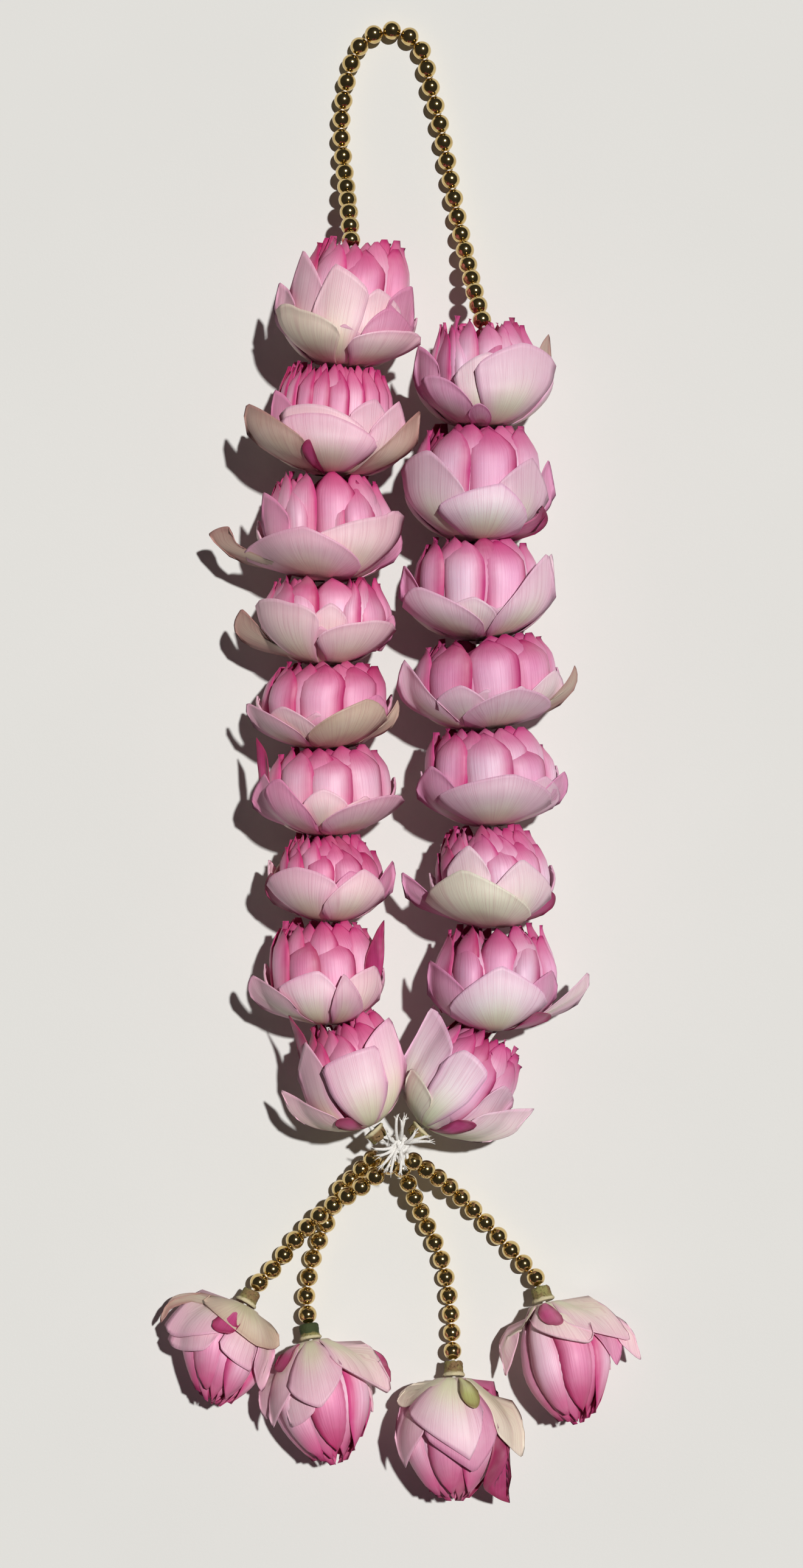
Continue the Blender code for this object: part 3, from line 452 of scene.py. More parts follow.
@dataclass
class BloomAxis:
    """The axis of a bloom and the surfaces of revolution that its petals follow.

    Heights run along the axis from the bloom's base, and shares are of a half width. closed says that the
    bloom hangs as a closed bud.
    """

    row: BloomRow
    base: Vector
    top: Vector
    closed: bool
    # Shares of the axis where a row gives the edges of its bowl and its bud
    bowl_at: float = 0.5
    bud_at: float = 0.9
    # An open bloom: its bowl, the gap between bowl and bud, and how flat a cluster may be at its side
    bowl_depth: float = 21.0
    bowl_half_height: float = 29.4
    base_radius: float = 4.5
    wall: float = 2.6
    bud_taper: float = 0.06
    flattest: float = 0.15
    # A closed bud: where it lies on the arch that its outline follows, and how full and how thick it is
    closed_arc: Flat = (0.05, 0.87)
    closed_least: float = 0.12
    closed_power: float = 0.62
    closed_wall: float = 0.92
    # How outer petals lie: the least half width at a bud's head, the edge, and how they lean in to the bud
    least_drape: float = 0.6
    edge_share: float = 0.95
    edge_fall: float = 0.9
    hug: float = 0.7
    hug_heights: Flat = (6.0, 24.0)
    hug_gap: float = 2.2

    def __post_init__(self) -> None:
        """Work out the directions of the axis and the half widths."""
        span = self.top - self.base
        self.length = span.length
        self.along = span.normalized()
        self.side = self.along.cross(Vector((0, 0, 1))).normalized()
        self.up = self.side.cross(self.along)
        self.bowl_edges = sorted(self.local((x, self.bowl_at * span.y))[0] for x in self.row.bowl)
        self.bud_edges = sorted(self.local((x, self.bud_at * span.y))[0] for x in self.row.bud)
        self.bowl_half = (self.bowl_edges[1] - self.bowl_edges[0]) / 2
        self.bud_half = (self.bud_edges[1] - self.bud_edges[0]) / 2
        self.squash = min(1.0, self.bowl_half_height / self.bowl_half)

    def local(self, offset: Flat) -> Flat:
        """Distance across and along the axis of a point given from the base."""
        flat = Vector((offset[0], offset[1], 0.0))
        return flat.dot(self.side), flat.dot(self.along)

    def spot(self, height: float, across: float, raised: float, press: float = 1.0) -> Vector:
        """A point from its distances along the axis, across and up, never below the paper.

        Args:
            height: the distance along the axis.
            across: the distance to the side.
            raised: the distance up from the axis.
            press: how much of that distance is left where the bloom is pressed flatter.

        Returns:
            The point in the drawing.
        """
        made = self.base + self.along * height + self.side * across + self.up * raised * press
        made.z = max(made.z, PAPER_GAP)
        return made

    def centre(self, height: float) -> float:
        """How far the middle of the bloom is from its axis.

        Args:
            height: the height above the base.

        Returns:
            The distance to the side: none at the base, then the bowl's middle and on to the bud's.
        """
        bowl, bud = sum(self.bowl_edges) / 2, sum(self.bud_edges) / 2
        if height < self.bowl_depth:
            return bowl * max(0.0, height) / self.bowl_depth
        share = (height - self.bowl_depth) / (self.row.bud_height - self.bowl_depth)
        return bowl + (bud - bowl) * min(1.0, share)

    def bowl_radius(self, height: float) -> float:
        """Half width of the outer petals.

        Args:
            height: the height above the base.

        Returns:
            The half width of an open bowl, or of a closed bud's oval.
        """
        if self.closed:
            share = self.closed_arc[0] + self.closed_arc[1] * max(0.0, height) / self.row.bud_height
            arch = max(self.closed_least, math.sin(math.pi * min(1.0, share)))
            return self.bowl_half * arch**self.closed_power
        drop = 1.0 - min(1.0, max(0.0, height) / self.bowl_depth)
        return max(self.base_radius, self.bowl_half * math.sqrt(1.0 - drop * drop))

    def bud_radius(self, height: float) -> float:
        """Half width of the bud, inside the outer petals.

        Args:
            height: the height above the base.

        Returns:
            The half width, a little less towards the top of an open bloom.
        """
        if self.closed:
            return self.closed_wall * self.bowl_radius(height)
        bud = self.bud_half * (1.0 - self.bud_taper * ease(0.55, 1.1, height / self.length))
        return min(bud, self.bowl_radius(height) - self.wall)

    def point(self, angle: float, height: float, radius: float, group: Flat = WHOLE[0]) -> Vector:
        """A point from its angle round the axis, its height and its radius.

        Args:
            angle: the angle round the axis, from 0 on top.
            height: the height above the base.
            radius: the distance from the bloom's middle.
            group: the middle and the half width of the cluster that it is in.

        Returns:
            The point, lower towards the sides for a cluster that stands beside the middle.
        """
        across = self.centre(height) + self.bud_half * group[0] + radius * group[1] * math.sin(angle)
        raised = radius * math.cos(angle) * self.squash
        if group is not WHOLE[0]:
            share = group[0] + group[1] * math.sin(angle)
            raised *= math.sqrt(max(self.flattest, 1.0 - share * share))
        return self.spot(height, across, raised)

    def drape_radius(self, height: float) -> float:
        """Half width that the outer petals are spread over.

        Args:
            height: the height above the base.

        Returns:
            The bowl's half width, which shrinks only so far at the head of a closed bud.
        """
        radius = self.bowl_radius(height)
        if self.closed and height > 0.5 * self.row.bud_height:
            radius = max(radius, self.least_drape * self.bowl_half)
        return radius

    def chart(self, offset: Flat) -> Flat:
        """Share of the half width and height of a point seen from above, given from the base."""
        across, height = self.local(offset)
        return (across - self.centre(height)) / self.drape_radius(height), height

    def drape(self, share: float, height: float, lift: float) -> Vector:
        """A point of an outer petal, which leans in to the bud higher up.

        Args:
            share: its share of the half width, where the petal stands out sideways if it is over 1.
            height: its height above the base.
            lift: its distance out from the surface.

        Returns:
            The point in the drawing.
        """
        edge = min(self.edge_share, abs(share))
        rise = math.sqrt(1.0 - edge * edge) - self.edge_fall * (abs(share) - edge)
        tilt = math.copysign(math.asin(edge), share)
        radius = self.drape_radius(height)
        slack = max(0.0, radius - self.bud_radius(height) - self.hug_gap)
        hug = self.hug * ease(*self.hug_heights, height)
        raised = (radius - hug * slack) * rise + lift * math.cos(tilt)
        across = self.centre(height) + radius * share + lift * math.sin(tilt)
        return self.spot(height, across, raised, self.squash)


@dataclass
class PetalMesh:
    """Collects closed petals in one mesh, with the attributes that their finish reads."""

    cast: Point
    seeds: Flat = (0.0, 50.0)
    lights: Flat = (0.93, 1.05)
    # Where the flanks start and finish darkening across and along, partly as painted shade where petals
    # overlap
    flank_across: Flat = (0.3, 0.92)
    flank_along: Flat = (0.5, 0.98)
    chart_width: float = 20.0

    def __post_init__(self) -> None:
        """Start an empty mesh with the petals' layers."""
        self.bm = bmesh.new()
        layers = self.bm.verts.layers
        self.tints = [layers.float_color.new(f"petal_{part}") for part in ("root", "tint", "rim")]
        numbers = (layers.float.new(f"petal_{part}") for part in ("edge", "flank", "seed"))
        self.edge, self.flank, self.seed = numbers
        self.uv = self.bm.loops.layers.uv.new("petal")

    def add(
        self,
        grid: tuple[int, int],
        place: Place,
        tone: Tone,
        size: Flat,
        draw: random.Random,
        thickness: float,
        rim_tint_and_shade: float = 0.6,
    ) -> None:
        """Add one closed petal.

        Args:
            grid: how many faces it has across and along.
            place: gives a point from u across (-1 to 1), v along (0 to 1) and the depth under its face.
            tone: how the petal has coloured.
            size: its greatest width and its length.
            draw: the bloom's own random draw.
            thickness: how thick the petal is.
            rim_tint_and_shade: how far its flanks take the dark colour of its rim, partly its own deeper edge
                and partly painted shade where petals overlap.
        """
        width, length = size
        outer = bmesh.ops.create_grid(self.bm, x_segments=grid[0], y_segments=grid[1], size=1.0)["verts"]
        copied = bmesh.ops.extrude_face_region(self.bm, geom=faces_of(outer), use_keep_orig=True)["geom"]
        inner = [item for item in copied if isinstance(item, bmesh.types.BMVert)]
        shares = {vert: (vert.co.x, (vert.co.y + 1.0) / 2.0) for vert in (*inner, *outer)}
        depths = {**dict.fromkeys(inner, thickness), **dict.fromkeys(outer, 0.0)}
        seed, light = draw.uniform(*self.seeds), draw.uniform(*self.lights)
        cast = [light * part for part in self.cast]
        colours = [[min(1.0, a * b) for a, b in zip(colour, cast)] + [1.0] for colour in tone.value]
        for vert, (u, v) in shares.items():
            vert.co = place(u, v, depths[vert])
            for layer, colour in zip(self.tints, colours):
                vert[layer] = colour
            vert[self.edge] = min((1.0 - abs(u)) * width / 2, (1.0 - v) * length)
            # Flanks and tip darken towards the rim colour: partly the petal's own deeper edge, partly painted
            # shade where petals overlap
            vert[self.flank] = rim_tint_and_shade * max(ease(*self.flank_across, abs(u)), ease(*self.flank_along, v))
            vert[self.seed] = seed
        for face in faces_of(shares):
            face.smooth = True
            for loop in face.loops:
                u, v = shares[loop.vert]
                loop[self.uv].uv = ((u + 1.0) / 2.0 * width / self.chart_width, v)

    def finish(self, name: str, material: Material) -> Piece:
        """Turn the petals into one object."""
        bmesh.ops.recalc_face_normals(self.bm, faces=self.bm.faces)
        return object_from(self.bm, name, material)


@dataclass
class Bloom:
    """A lotus bloom: outer petals, rings of inner petals and the core that they close round.

    ends are the base and the top of its axis. cast is what its colours are multiplied by, closed says that
    it hangs as a closed bud, and drop is how much lower its top ends to clear a bloom above that leans.
    """

    name: str
    row: BloomRow
    ends: tuple[Point, Point]
    cast: Point
    closed: bool = False
    drop: float = 0.0
    # Faces across and along, and the thickness of outer, plain and inner petals
    outer_grid: tuple[int, int] = (16, 16)
    back_grid: tuple[int, int] = (10, 10)
    inner_grid: tuple[int, int] = (10, 12)
    core_grid: tuple[int, int] = (36, 8)
    thickness: Point = (0.75, 0.7, 0.6)
    # How far the layers of outer petals stand apart, and the share of it in a closed bud
    layer_step: float = 1.5
    closed_step: float = 0.7
    # Outer petals: the least half width, also for a shrivelled one, and the limit of the root and the tip
    least_half: float = 0.13
    shrivelled: float = 0.6
    root_reach: float = 0.7
    # Where a rim folds, the height of the root, and how waist, crown and corners shape the outline
    crease: float = 0.86
    foot: float = 0.6
    waist: float = 0.42
    crown: float = 1.3
    corner: float = 2.2
    # Inner petals: where they are widest, how far they rise past the axis, the share of them that is short,
    # and how far their flanks darken towards the colour of their rim: partly their own deeper edges and
    # partly painted shade where they overlap
    widest: float = 0.62
    over_rim: float = 1.4
    over_side: float = 3.0
    short_share: float = 0.08
    rim_tint_and_shade: float = 0.88
    # The core: how far it stays under the bud's top and inside its side, its wall and its folds
    core_drop: float = 4.5
    core_gap: float = 6.5
    core_wall: float = 2.0
    core_folds: int = 12
    core_fold: float = 0.7

    def __post_init__(self) -> None:
        """Set up the axis, the bloom's own random draw and its empty mesh."""
        self.axis = BloomAxis(self.row, Vector(self.ends[0]), Vector(self.ends[1]), self.closed)
        self.draw = random.Random(self.name)
        self.mesh = PetalMesh(self.cast)

    def outer_petal(self, petal: Outer) -> None:
        """Add an outer petal with its corners and its tip where the picture has them.

        Args:
            petal: the petal as the picture shows it.
        """
        axis, draw = self.axis, self.draw
        left, tip, right = (axis.chart(corner) for corner in (petal.left, petal.tip, petal.right))
        if left[0] > right[0]:
            left, right = right, left
        middle = (left[0] + right[0]) / 2
        least = self.least_half * (self.shrivelled if petal.tone is MAGENTA else 1.0)
        half = max(least, (right[0] - left[0]) / 2)
        left, right = (middle - half, left[1]), (middle + half, right[1])
        root = min(self.root_reach, max(-self.root_reach, middle))
        tip_share = min(self.root_reach, max(-self.root_reach, (tip[0] - middle) / half))
        offset = self.layer_step * (petal.layer - 2) * (self.closed_step if self.closed else 1.0)
        waves = [(draw.uniform(2, 5), draw.uniform(0, 6.3), draw.uniform(0.05, 0.14)) for _ in range(3)]
        crease = self.crease if petal.fold else 1.0

        def rim(u: float) -> list[float]:
            """Share of the half width and height of the rim at u."""
            if u < tip_share:
                climb = (u + 1.0) / (tip_share + 1.0)
                spot = mix(left, tip, climb)
            else:
                climb = (1.0 - u) / (1.0 - tip_share)
                spot = mix(right, tip, climb)
            spot[1] += self.crown * math.sin(math.pi * climb * 0.94) - self.corner * ease(0.84, 1.0, abs(u))
            return spot

        def place(u: float, v: float, depth: float) -> Vector:
            """The petal's point at u across and v along, at a depth under its face."""
            share, height = rim(u)
            climb = min(1.0, v / crease)
            turned = max(0.0, v - crease) / (1.0 - crease) if petal.fold else 0.0
            spread = (share - middle) * (1.0 - self.waist * (1.0 - climb) ** 1.6)
            share = spread + root + (middle - root) * ease(0.0, 0.75, climb)
            rise = self.foot + (height - self.foot) * climb - petal.fold * turned
            if self.closed and abs(share) > 1.0:
                narrow = axis.drape_radius(height) / axis.drape_radius(rise)
                share = math.copysign(max(1.0, abs(share) * narrow), share)
            wave = sum(size * math.sin(f * u + phase + 2.0 * v) for f, phase, size in waves)
            lift = offset * min(1.0, 3.0 * climb) + 0.3 * (1.0 - u * u) * math.sin(math.pi * climb)
            lift += wave * climb + petal.roll * ease(0.88, 1.0, climb) + 0.6 * ease(0.0, 0.4, turned)
            lift += 0.5 * petal.roll * ease(0.8, 1.0, abs(u)) * ease(0.3, 0.8, climb)
            lift -= 0.9 * abs(u) ** 4 * (1.0 - climb)
            lift -= thinned(depth, u, v) * (1.0 - 2.0 * ease(0.2, 0.8, turned))
            return axis.drape(share, rise, lift)

        size = (2 * half * axis.bowl_half, tip[1])
        self.mesh.add(self.outer_grid, place, petal.tone, size, draw, self.thickness[0])

    def round_petal(self, degrees: float, share: float, layer: float, tone: Tone) -> None:
        """Add a plain pointed oval outer petal, under those that the picture shows or out of its sight.

        Args:
            degrees: its angle round the axis, from 0 on top.
            share: its reach as a share of the bowl's depth.
            layer: how far out it lies, in layers.
            tone: how it has coloured.
        """
        axis, draw = self.axis, self.draw
        angle = math.radians(degrees + draw.uniform(-5, 5))
        depth = 0.6 * self.row.bud_height if self.closed else axis.bowl_depth
        reach = share * depth * draw.uniform(0.95, 1.05)
        spread = math.radians(draw.uniform(29, 35))

        def place(u: float, v: float, depth: float) -> Vector:
            """The petal's point at u across and v along, at a depth under its face."""
            width = spread * (1.0 - 0.85 * max(0.0, (v - 0.55) / 0.45) ** 1.9)
            height = 0.5 + (reach - 0.5) * v - 1.5 * u * u * v
            radius = axis.bowl_radius(height) + self.layer_step * (layer - 2.4) * min(1.0, 3 * v)
            radius += 0.5 * (1 - u * u) * v
            return axis.point(angle + u * width, height, max(0.5, radius - depth))

        size = (2 * spread * axis.bowl_half, reach)
        self.mesh.add(self.back_grid, place, tone, size, draw, self.thickness[1])

    def inner_petal(self, ring: BudRing, number: int, turn: float, group: Flat, count: int) -> None:
        """Add one inner petal, spoon-shaped, with its tip leaning in.

        Args:
            ring: the ring that it is in.
            number: its place in the ring.
            turn: the angle of the ring's first petal.
            group: the middle and half width of its cluster.
            count: how many petals the ring has in that cluster.
        """
        axis, draw = self.axis, self.draw
        step = 2 * math.pi / count
        angle = math.remainder(turn + number * step + draw.uniform(-0.10, 0.10) * step, 2 * math.pi)
        half = 0.5 * step * draw.uniform(1.12, 1.26)
        face, whole = math.cos(angle) ** 2, group is WHOLE[0]
        rim, close, bend = self.row.bud_height, ring.close, 0.35
        if not self.closed:
            lowered = self.drop * max(0.0, math.cos(angle))
            rim = min(rim, axis.length + self.over_rim + self.over_side * (1.0 - face) - lowered)
            close += 0.22 * face if whole else 0.26 + 0.1 * face
            bend = 0.72 if whole else 0.5
        short = draw.uniform(2.5, 6.0) if draw.random() < self.short_share else draw.uniform(-0.8, 1.2)
        reach = rim * ring.reach - short
        start = (0.08 if self.closed else 0.2) * reach
        lean = draw.uniform(-0.10, 0.10) * step
        cup = draw.uniform(1.9, 3.0) * min(1.0, 8 / count)
        twist = 1.25 * min(1.0, 9 / count)

        def place(u: float, v: float, depth: float) -> Vector:
            """The petal's point at u across and v along, at a depth under its face."""
            if v < self.widest:
                width = half * (0.84 + 0.16 * math.sin(math.pi * v / (2 * self.widest)))
            else:
                width = half * max(0.01, 1.0 - ((v - self.widest) / (1.0 - self.widest)) ** 2.6) ** 0.78
            height = start + (reach - start) * v
            radius = axis.bud_radius(height) - ring.inset
            radius *= 1.0 - close * ease(bend, 1.04, v)
            tuck = radius * (1.0 - math.cos(min(1.3, width)))
            belly = math.sin(math.pi * min(1.0, v * 1.03)) ** 0.7
            radius += cup * ((1.0 - u * u) * belly - 0.5) - 0.4 * tuck * u * u + twist * u
            radius = max(0.4, radius - thinned(depth, u, v))
            return axis.point(angle + lean * v + u * width, height, radius, group)

        tone = draw.choices((Tone.BLUSH, Tone.ROSE, Tone.DEEP), (0.42, 0.46, 0.12))[0]
        size = (2 * half * axis.bud_half * group[1], reach - start)
        self.mesh.add(self.inner_grid, place, tone, size, draw, self.thickness[2], self.rim_tint_and_shade)

    def core(self) -> None:
        """Add the closed middle of the bud, which the inner petals stand round, in a dark deep pink that is
        partly painted shade in the gaps between them.
        """
        axis = self.axis
        high = min(self.row.bud_height, axis.length) - self.core_drop - self.drop

        def place(u: float, v: float, depth: float) -> Vector:
            """The core's point at u round it and v along it, at a depth under its face."""
            height = 0.1 * high + 0.9 * high * v
            narrow = math.sqrt(max(0.0, 1.0 - (0.98 * v) ** 4))
            radius = (axis.bud_radius(height) - self.core_gap) * narrow
            radius += self.core_fold * math.cos(self.core_folds * math.pi * u)
            return axis.point(math.pi * u, height, max(0.3, radius - depth))

        # The core's dark tone is painted shade between the inner petals, over their deep pink
        self.mesh.add(self.core_grid, place, Tone.SHADOW, (60.0, high), self.draw, self.core_wall)

    def build(self, material: Material) -> Piece:
        """Build the whole bloom as one piece.

        Args:
            material: the petals' finish.

        Returns:
            The bloom's object.
        """
        self.core()
        last = len(self.row.rings) - 1
        for number, ring in enumerate(self.row.rings):
            for group in WHOLE if number == last else self.row.groups:
                count = ring.count if group is WHOLE[0] else max(5, round(0.72 * ring.count))
                turn = math.radians(self.row.front) + number * math.pi / count
                for petal in range(count):
                    self.inner_petal(ring, petal, turn, group, count)
        for angle, share, layer, tone in ROUND_PETALS:
            self.round_petal(angle, share, layer, tone)
        for petal in self.row.petals:
            self.outer_petal(petal)
        return self.mesh.finish(self.name, material)


def tube(bm: Mesh, points: Sequence[Vector], radii: Sequence[float], sides: int, finish: int = 0) -> None:
    """Add a closed round tube along points.

    Args:
        bm: the mesh that it goes into.
        points: the middle of each ring.
        radii: the radius of each ring.
        sides: how many sides it has.
        finish: the number of its material.
    """
    rings = len(points)
    verts = list(bmesh.ops.create_circle(bm, cap_ends=False, segments=sides, radius=1.0)["verts"])
    edges = first = list(dict.fromkeys(edge for vert in verts for edge in vert.link_edges))
    for _ in range(rings - 1):
        grown = bmesh.ops.extrude_edge_only(bm, edges=edges)["geom"]
        edges = [item for item in grown if isinstance(item, bmesh.types.BMEdge)]
        fresh = [item for item in grown if isinstance(item, bmesh.types.BMVert)]
        bmesh.ops.translate(bm, vec=(0, 0, 1), verts=fresh)
        verts += fresh
    for loop in (first, edges):
        bmesh.ops.edgeloop_fill(bm, edges=loop)
    for vert in verts:
        ring = round(vert.co.z)
        ahead = (points[min(ring + 1, rings - 1)] - points[max(ring - 1, 0)]).normalized()
        side = ahead.cross(Vector((0.31, 0.17, 0.94))).normalized()
        turn = math.atan2(vert.co.y, vert.co.x)
        vert.co = points[ring] + (side * math.cos(turn) + ahead.cross(side) * math.sin(turn)) * radii[ring]
    for face in faces_of(verts):
        face.material_index = finish
        face.smooth = len(face.verts) == 4


@dataclass(frozen=True)
class BeadString:
    """Round beads in touch on their thread along a route.

    lead and tail are where the thread runs on to before the first bead and after the last.
    """

    name: str
    node: str
    route: tuple[Point, ...]
    lead: tuple[Point, ...] = ()
    tail: tuple[Point, ...] = ()
    diameter: float = 8.0
    fatness: float = 0.488
    segments: int = 24
    bands: int = 14
    thread: float = 0.8
    thread_sides: int = 8
    steps: int = 8

    def line(self) -> list[Vector]:
        """Run a smooth curve through the route's points.

        Returns:
            Closely spaced points on the curve.
        """
        points = [Vector(point) for point in self.route]
        points = [2 * points[0] - points[1], *points, 2 * points[-1] - points[-2]]
        made = []
        for before, start, end, after in zip(points, points[1:], points[2:], points[3:]):
            for step in range(self.steps):
                t = step / self.steps
                bend = (end - before) * t + (2 * before - 5 * start + 4 * end - after) * t**2
                bend += (3 * start - before - 3 * end + after) * t**3
                made.append(start + bend / 2)
        return made + [points[-2]]

    @staticmethod
    def at(points: Sequence[Vector], distance: float) -> Vector:
        """Find a point along a list of points, which runs on straight past its ends.

        Args:
            points: the list.
            distance: how far along it the point is.

        Returns:
            The point.
        """
        if distance < 0:
            return points[0] + (points[0] - points[1]).normalized() * -distance
        for start, end in zip(points, points[1:]):
            step = (end - start).length
            if distance <= step:
                return start.lerp(end, distance / step)
            distance -= step
        return points[-1] + (points[-1] - points[-2]).normalized() * distance

    def build(self, gold: Material, cotton: Material) -> None:
        """Make the beads and their thread as one piece.

        Args:
            gold: the beads' finish.
            cotton: the thread's finish.
        """
        points = self.line()
        length = sum((end - start).length for start, end in zip(points, points[1:]))
        count = round(length / self.diameter) + 1
        pitch = length / (count - 1)
        bm = bmesh.new()
        for number in range(count):
            centre = Matrix.Translation(self.at(points, number * pitch))
            ahead = self.at(points, number * pitch + 0.5) - self.at(points, number * pitch - 0.5)
            turn = ahead.to_track_quat("Z", "Y").to_matrix().to_4x4()
            size = {"u_segments": self.segments, "v_segments": self.bands, "radius": self.fatness * pitch}
            for face in faces_of(bmesh.ops.create_uvsphere(bm, **size, matrix=centre @ turn)["verts"]):
                face.smooth = True
        start, end = -pitch / 2, length + pitch / 2
        stations = [start + (end - start) * step / (2 * count) for step in range(2 * count + 1)]
        path = [Vector(spot) for spot in self.lead]
        path += [self.at(points, station) for station in stations]
        path += [Vector(spot) for spot in self.tail]
        tube(bm, path, [self.thread] * len(path), self.thread_sides, 1)
        bmesh.ops.recalc_face_normals(bm, faces=bm.faces)
        dress(object_from(bm, self.name, gold, cotton), self.node)


@dataclass(frozen=True)
class StemStub:
    """A short cut stem, ridged along its length, with its fibres showing at the cut.

    green is 1 for a fresh stem, which is smoother and cut clean, and 0 for a dry one.
    """

    name: str
    node: str
    start: Vector
    end: Vector
    green: float
    radius: float = 4.1
    taper: float = 0.92
    flare: float = 0.16
    bulge: float = 0.06
    rim: float = 0.9
    ridges: int = 9
    ridge: float = 0.22
    ragged: float = 0.7
    rings: int = 12
    sides: int = 30

    def radii(self, draw: random.Random) -> list[float]:
        """Work out the radius of each ring, from the flare at the bloom to the cut.

        Args:
            draw: the stem's own random draw.

        Returns:
            The radii.
        """
        made = []
        for ring in range(self.rings):
            share = ring / (self.rings - 1)
            swell = 1.0 - (1.0 - self.taper) * share + draw.uniform(-0.02, 0.02)
            swell += self.flare * ease(0.3, 0.12, share) + self.bulge * self.green * ease(0.5, 0.6, share)
            made.append(self.radius * swell * (self.rim if ring in (0, self.rings - 1) else 1.0))
        return made

    def build(self, stem: Material) -> None:
        """Make the stem.

        Args:
            stem: its finish.
        """
        draw = random.Random(self.name)
        bm = bmesh.new()
        points = [self.start.lerp(self.end, ring / (self.rings - 1)) for ring in range(self.rings)]
        tube(bm, points, self.radii(draw), self.sides)
        axis = (self.end - self.start).normalized()
        length = (self.end - self.start).length
        layers = bm.verts.layers.float
        depth, shade = layers.new("stem_depth"), layers.new("stem_green")
        for vert in bm.verts:
            out = vert.co - self.start
            along = out.dot(axis)
            out -= axis * along
            vert[depth], vert[shade] = along / length, self.green
            if out.length > 0.5:
                turn = math.atan2(out.y, out.x) + math.atan2(out.z, out.x)
                vert.co += out.normalized() * (self.ridge - 0.12 * self.green) * math.sin(self.ridges * turn)
                if along > 0.7 * length:
                    vert.co -= axis * draw.uniform(0.0, self.ragged) * (1.0 - self.green)
        bmesh.ops.recalc_face_normals(bm, faces=bm.faces)
        dress(object_from(bm, self.name, stem), self.node)


@dataclass(frozen=True)
class CottonKnot:
    """The knot of soft cotton string, with its cut ends frayed.

    turns has the tilt and the spin of each wound ring, and fibre_radii the radii along a frayed fibre.
    """

    centre: Vector
    radius: float = 4.3
    core_gap: float = 0.9
    turns: tuple[Flat, ...] = ((0.2, 0.0), (0.9, 0.7), (1.4, 1.9), (0.7, 2.6), (1.2, 4.0))
    turn_steps: int = 32
    turn_sides: int = 8
    strand: float = 0.75
    sway: float = 0.25
    rise: float = 7.0
    end_steps: int = 8
    end_sides: int = 7
    fibres: int = 7
    fibre_radii: Point = (0.2, 0.17, 0.08)
    fibre_sides: int = 5

    def wraps(self, bm: Mesh) -> None:
        """Wind the string round the knot's core.

        Args:
            bm: the knot's mesh.
        """
        ball = bmesh.ops.create_icosphere(bm, subdivisions=3, radius=self.radius - self.core_gap)
        bmesh.ops.translate(bm, vec=self.centre, verts=ball["verts"])
        for tilt, spin in self.turns:
            turn = Matrix.Rotation(spin, 3, "Z") @ Matrix.Rotation(tilt, 3, "X")
            ring = []
            for step in range(self.turn_steps + 1):
                angle = 2 * math.pi * step / self.turn_steps
                wide = self.radius - self.strand + self.sway * math.sin(3 * angle + spin)
                spot = Vector((wide * math.cos(angle), wide * math.sin(angle), 0.5))
                ring.append(self.centre + turn @ spot)
            tube(bm, ring, [self.strand] * len(ring), self.turn_sides)

    def ends(self, bm: Mesh) -> None:
        """Add the cut ends, each fraying into a few fibres.

        Args:
            bm: the knot's mesh.
        """
        draw = random.Random("cotton")
        steps = range(self.end_steps + 1)
        for x, y in COTTON_ENDS:
            tip = self.centre + Vector((x, y, self.rise + draw.uniform(-1.5, 1.5)))
            bow = Vector((draw.uniform(-0.8, 0.8), draw.uniform(-0.8, 0.8), 1.6))
            path = []
            for step in steps:
                share = 0.2 + 0.8 * step / self.end_steps
                path.append(self.centre.lerp(tip, share) + bow * math.sin(math.pi * share))
            radii = [self.strand * (1.0 - 0.25 * step / self.end_steps) for step in steps]
            tube(bm, path, radii, self.end_sides)
            ahead = (path[-1] - path[-3]).normalized()
            for _ in range(self.fibres):
                spread = Vector((draw.uniform(-1, 1), draw.uniform(-1, 1), draw.uniform(-1, 1))) * 0.9
                start = path[-2] + spread * 0.25
                mid = start + ahead * 1.3 + spread * 0.5
                end = mid + ahead * draw.uniform(0.4, 1.3) + spread * 0.7
                tube(bm, [start, mid, end], self.fibre_radii, self.fibre_sides)

    def build(self, cotton: Material) -> None:
        """Make the whole knot.

        Args:
            cotton: its finish.
        """
        bm = bmesh.new()
        self.wraps(bm)
        self.ends(bm)
        for face in bm.faces:
            face.smooth = True
        bmesh.ops.recalc_face_normals(bm, faces=bm.faces)
        dress(object_from(bm, "cotton_knot", cotton), "knot")


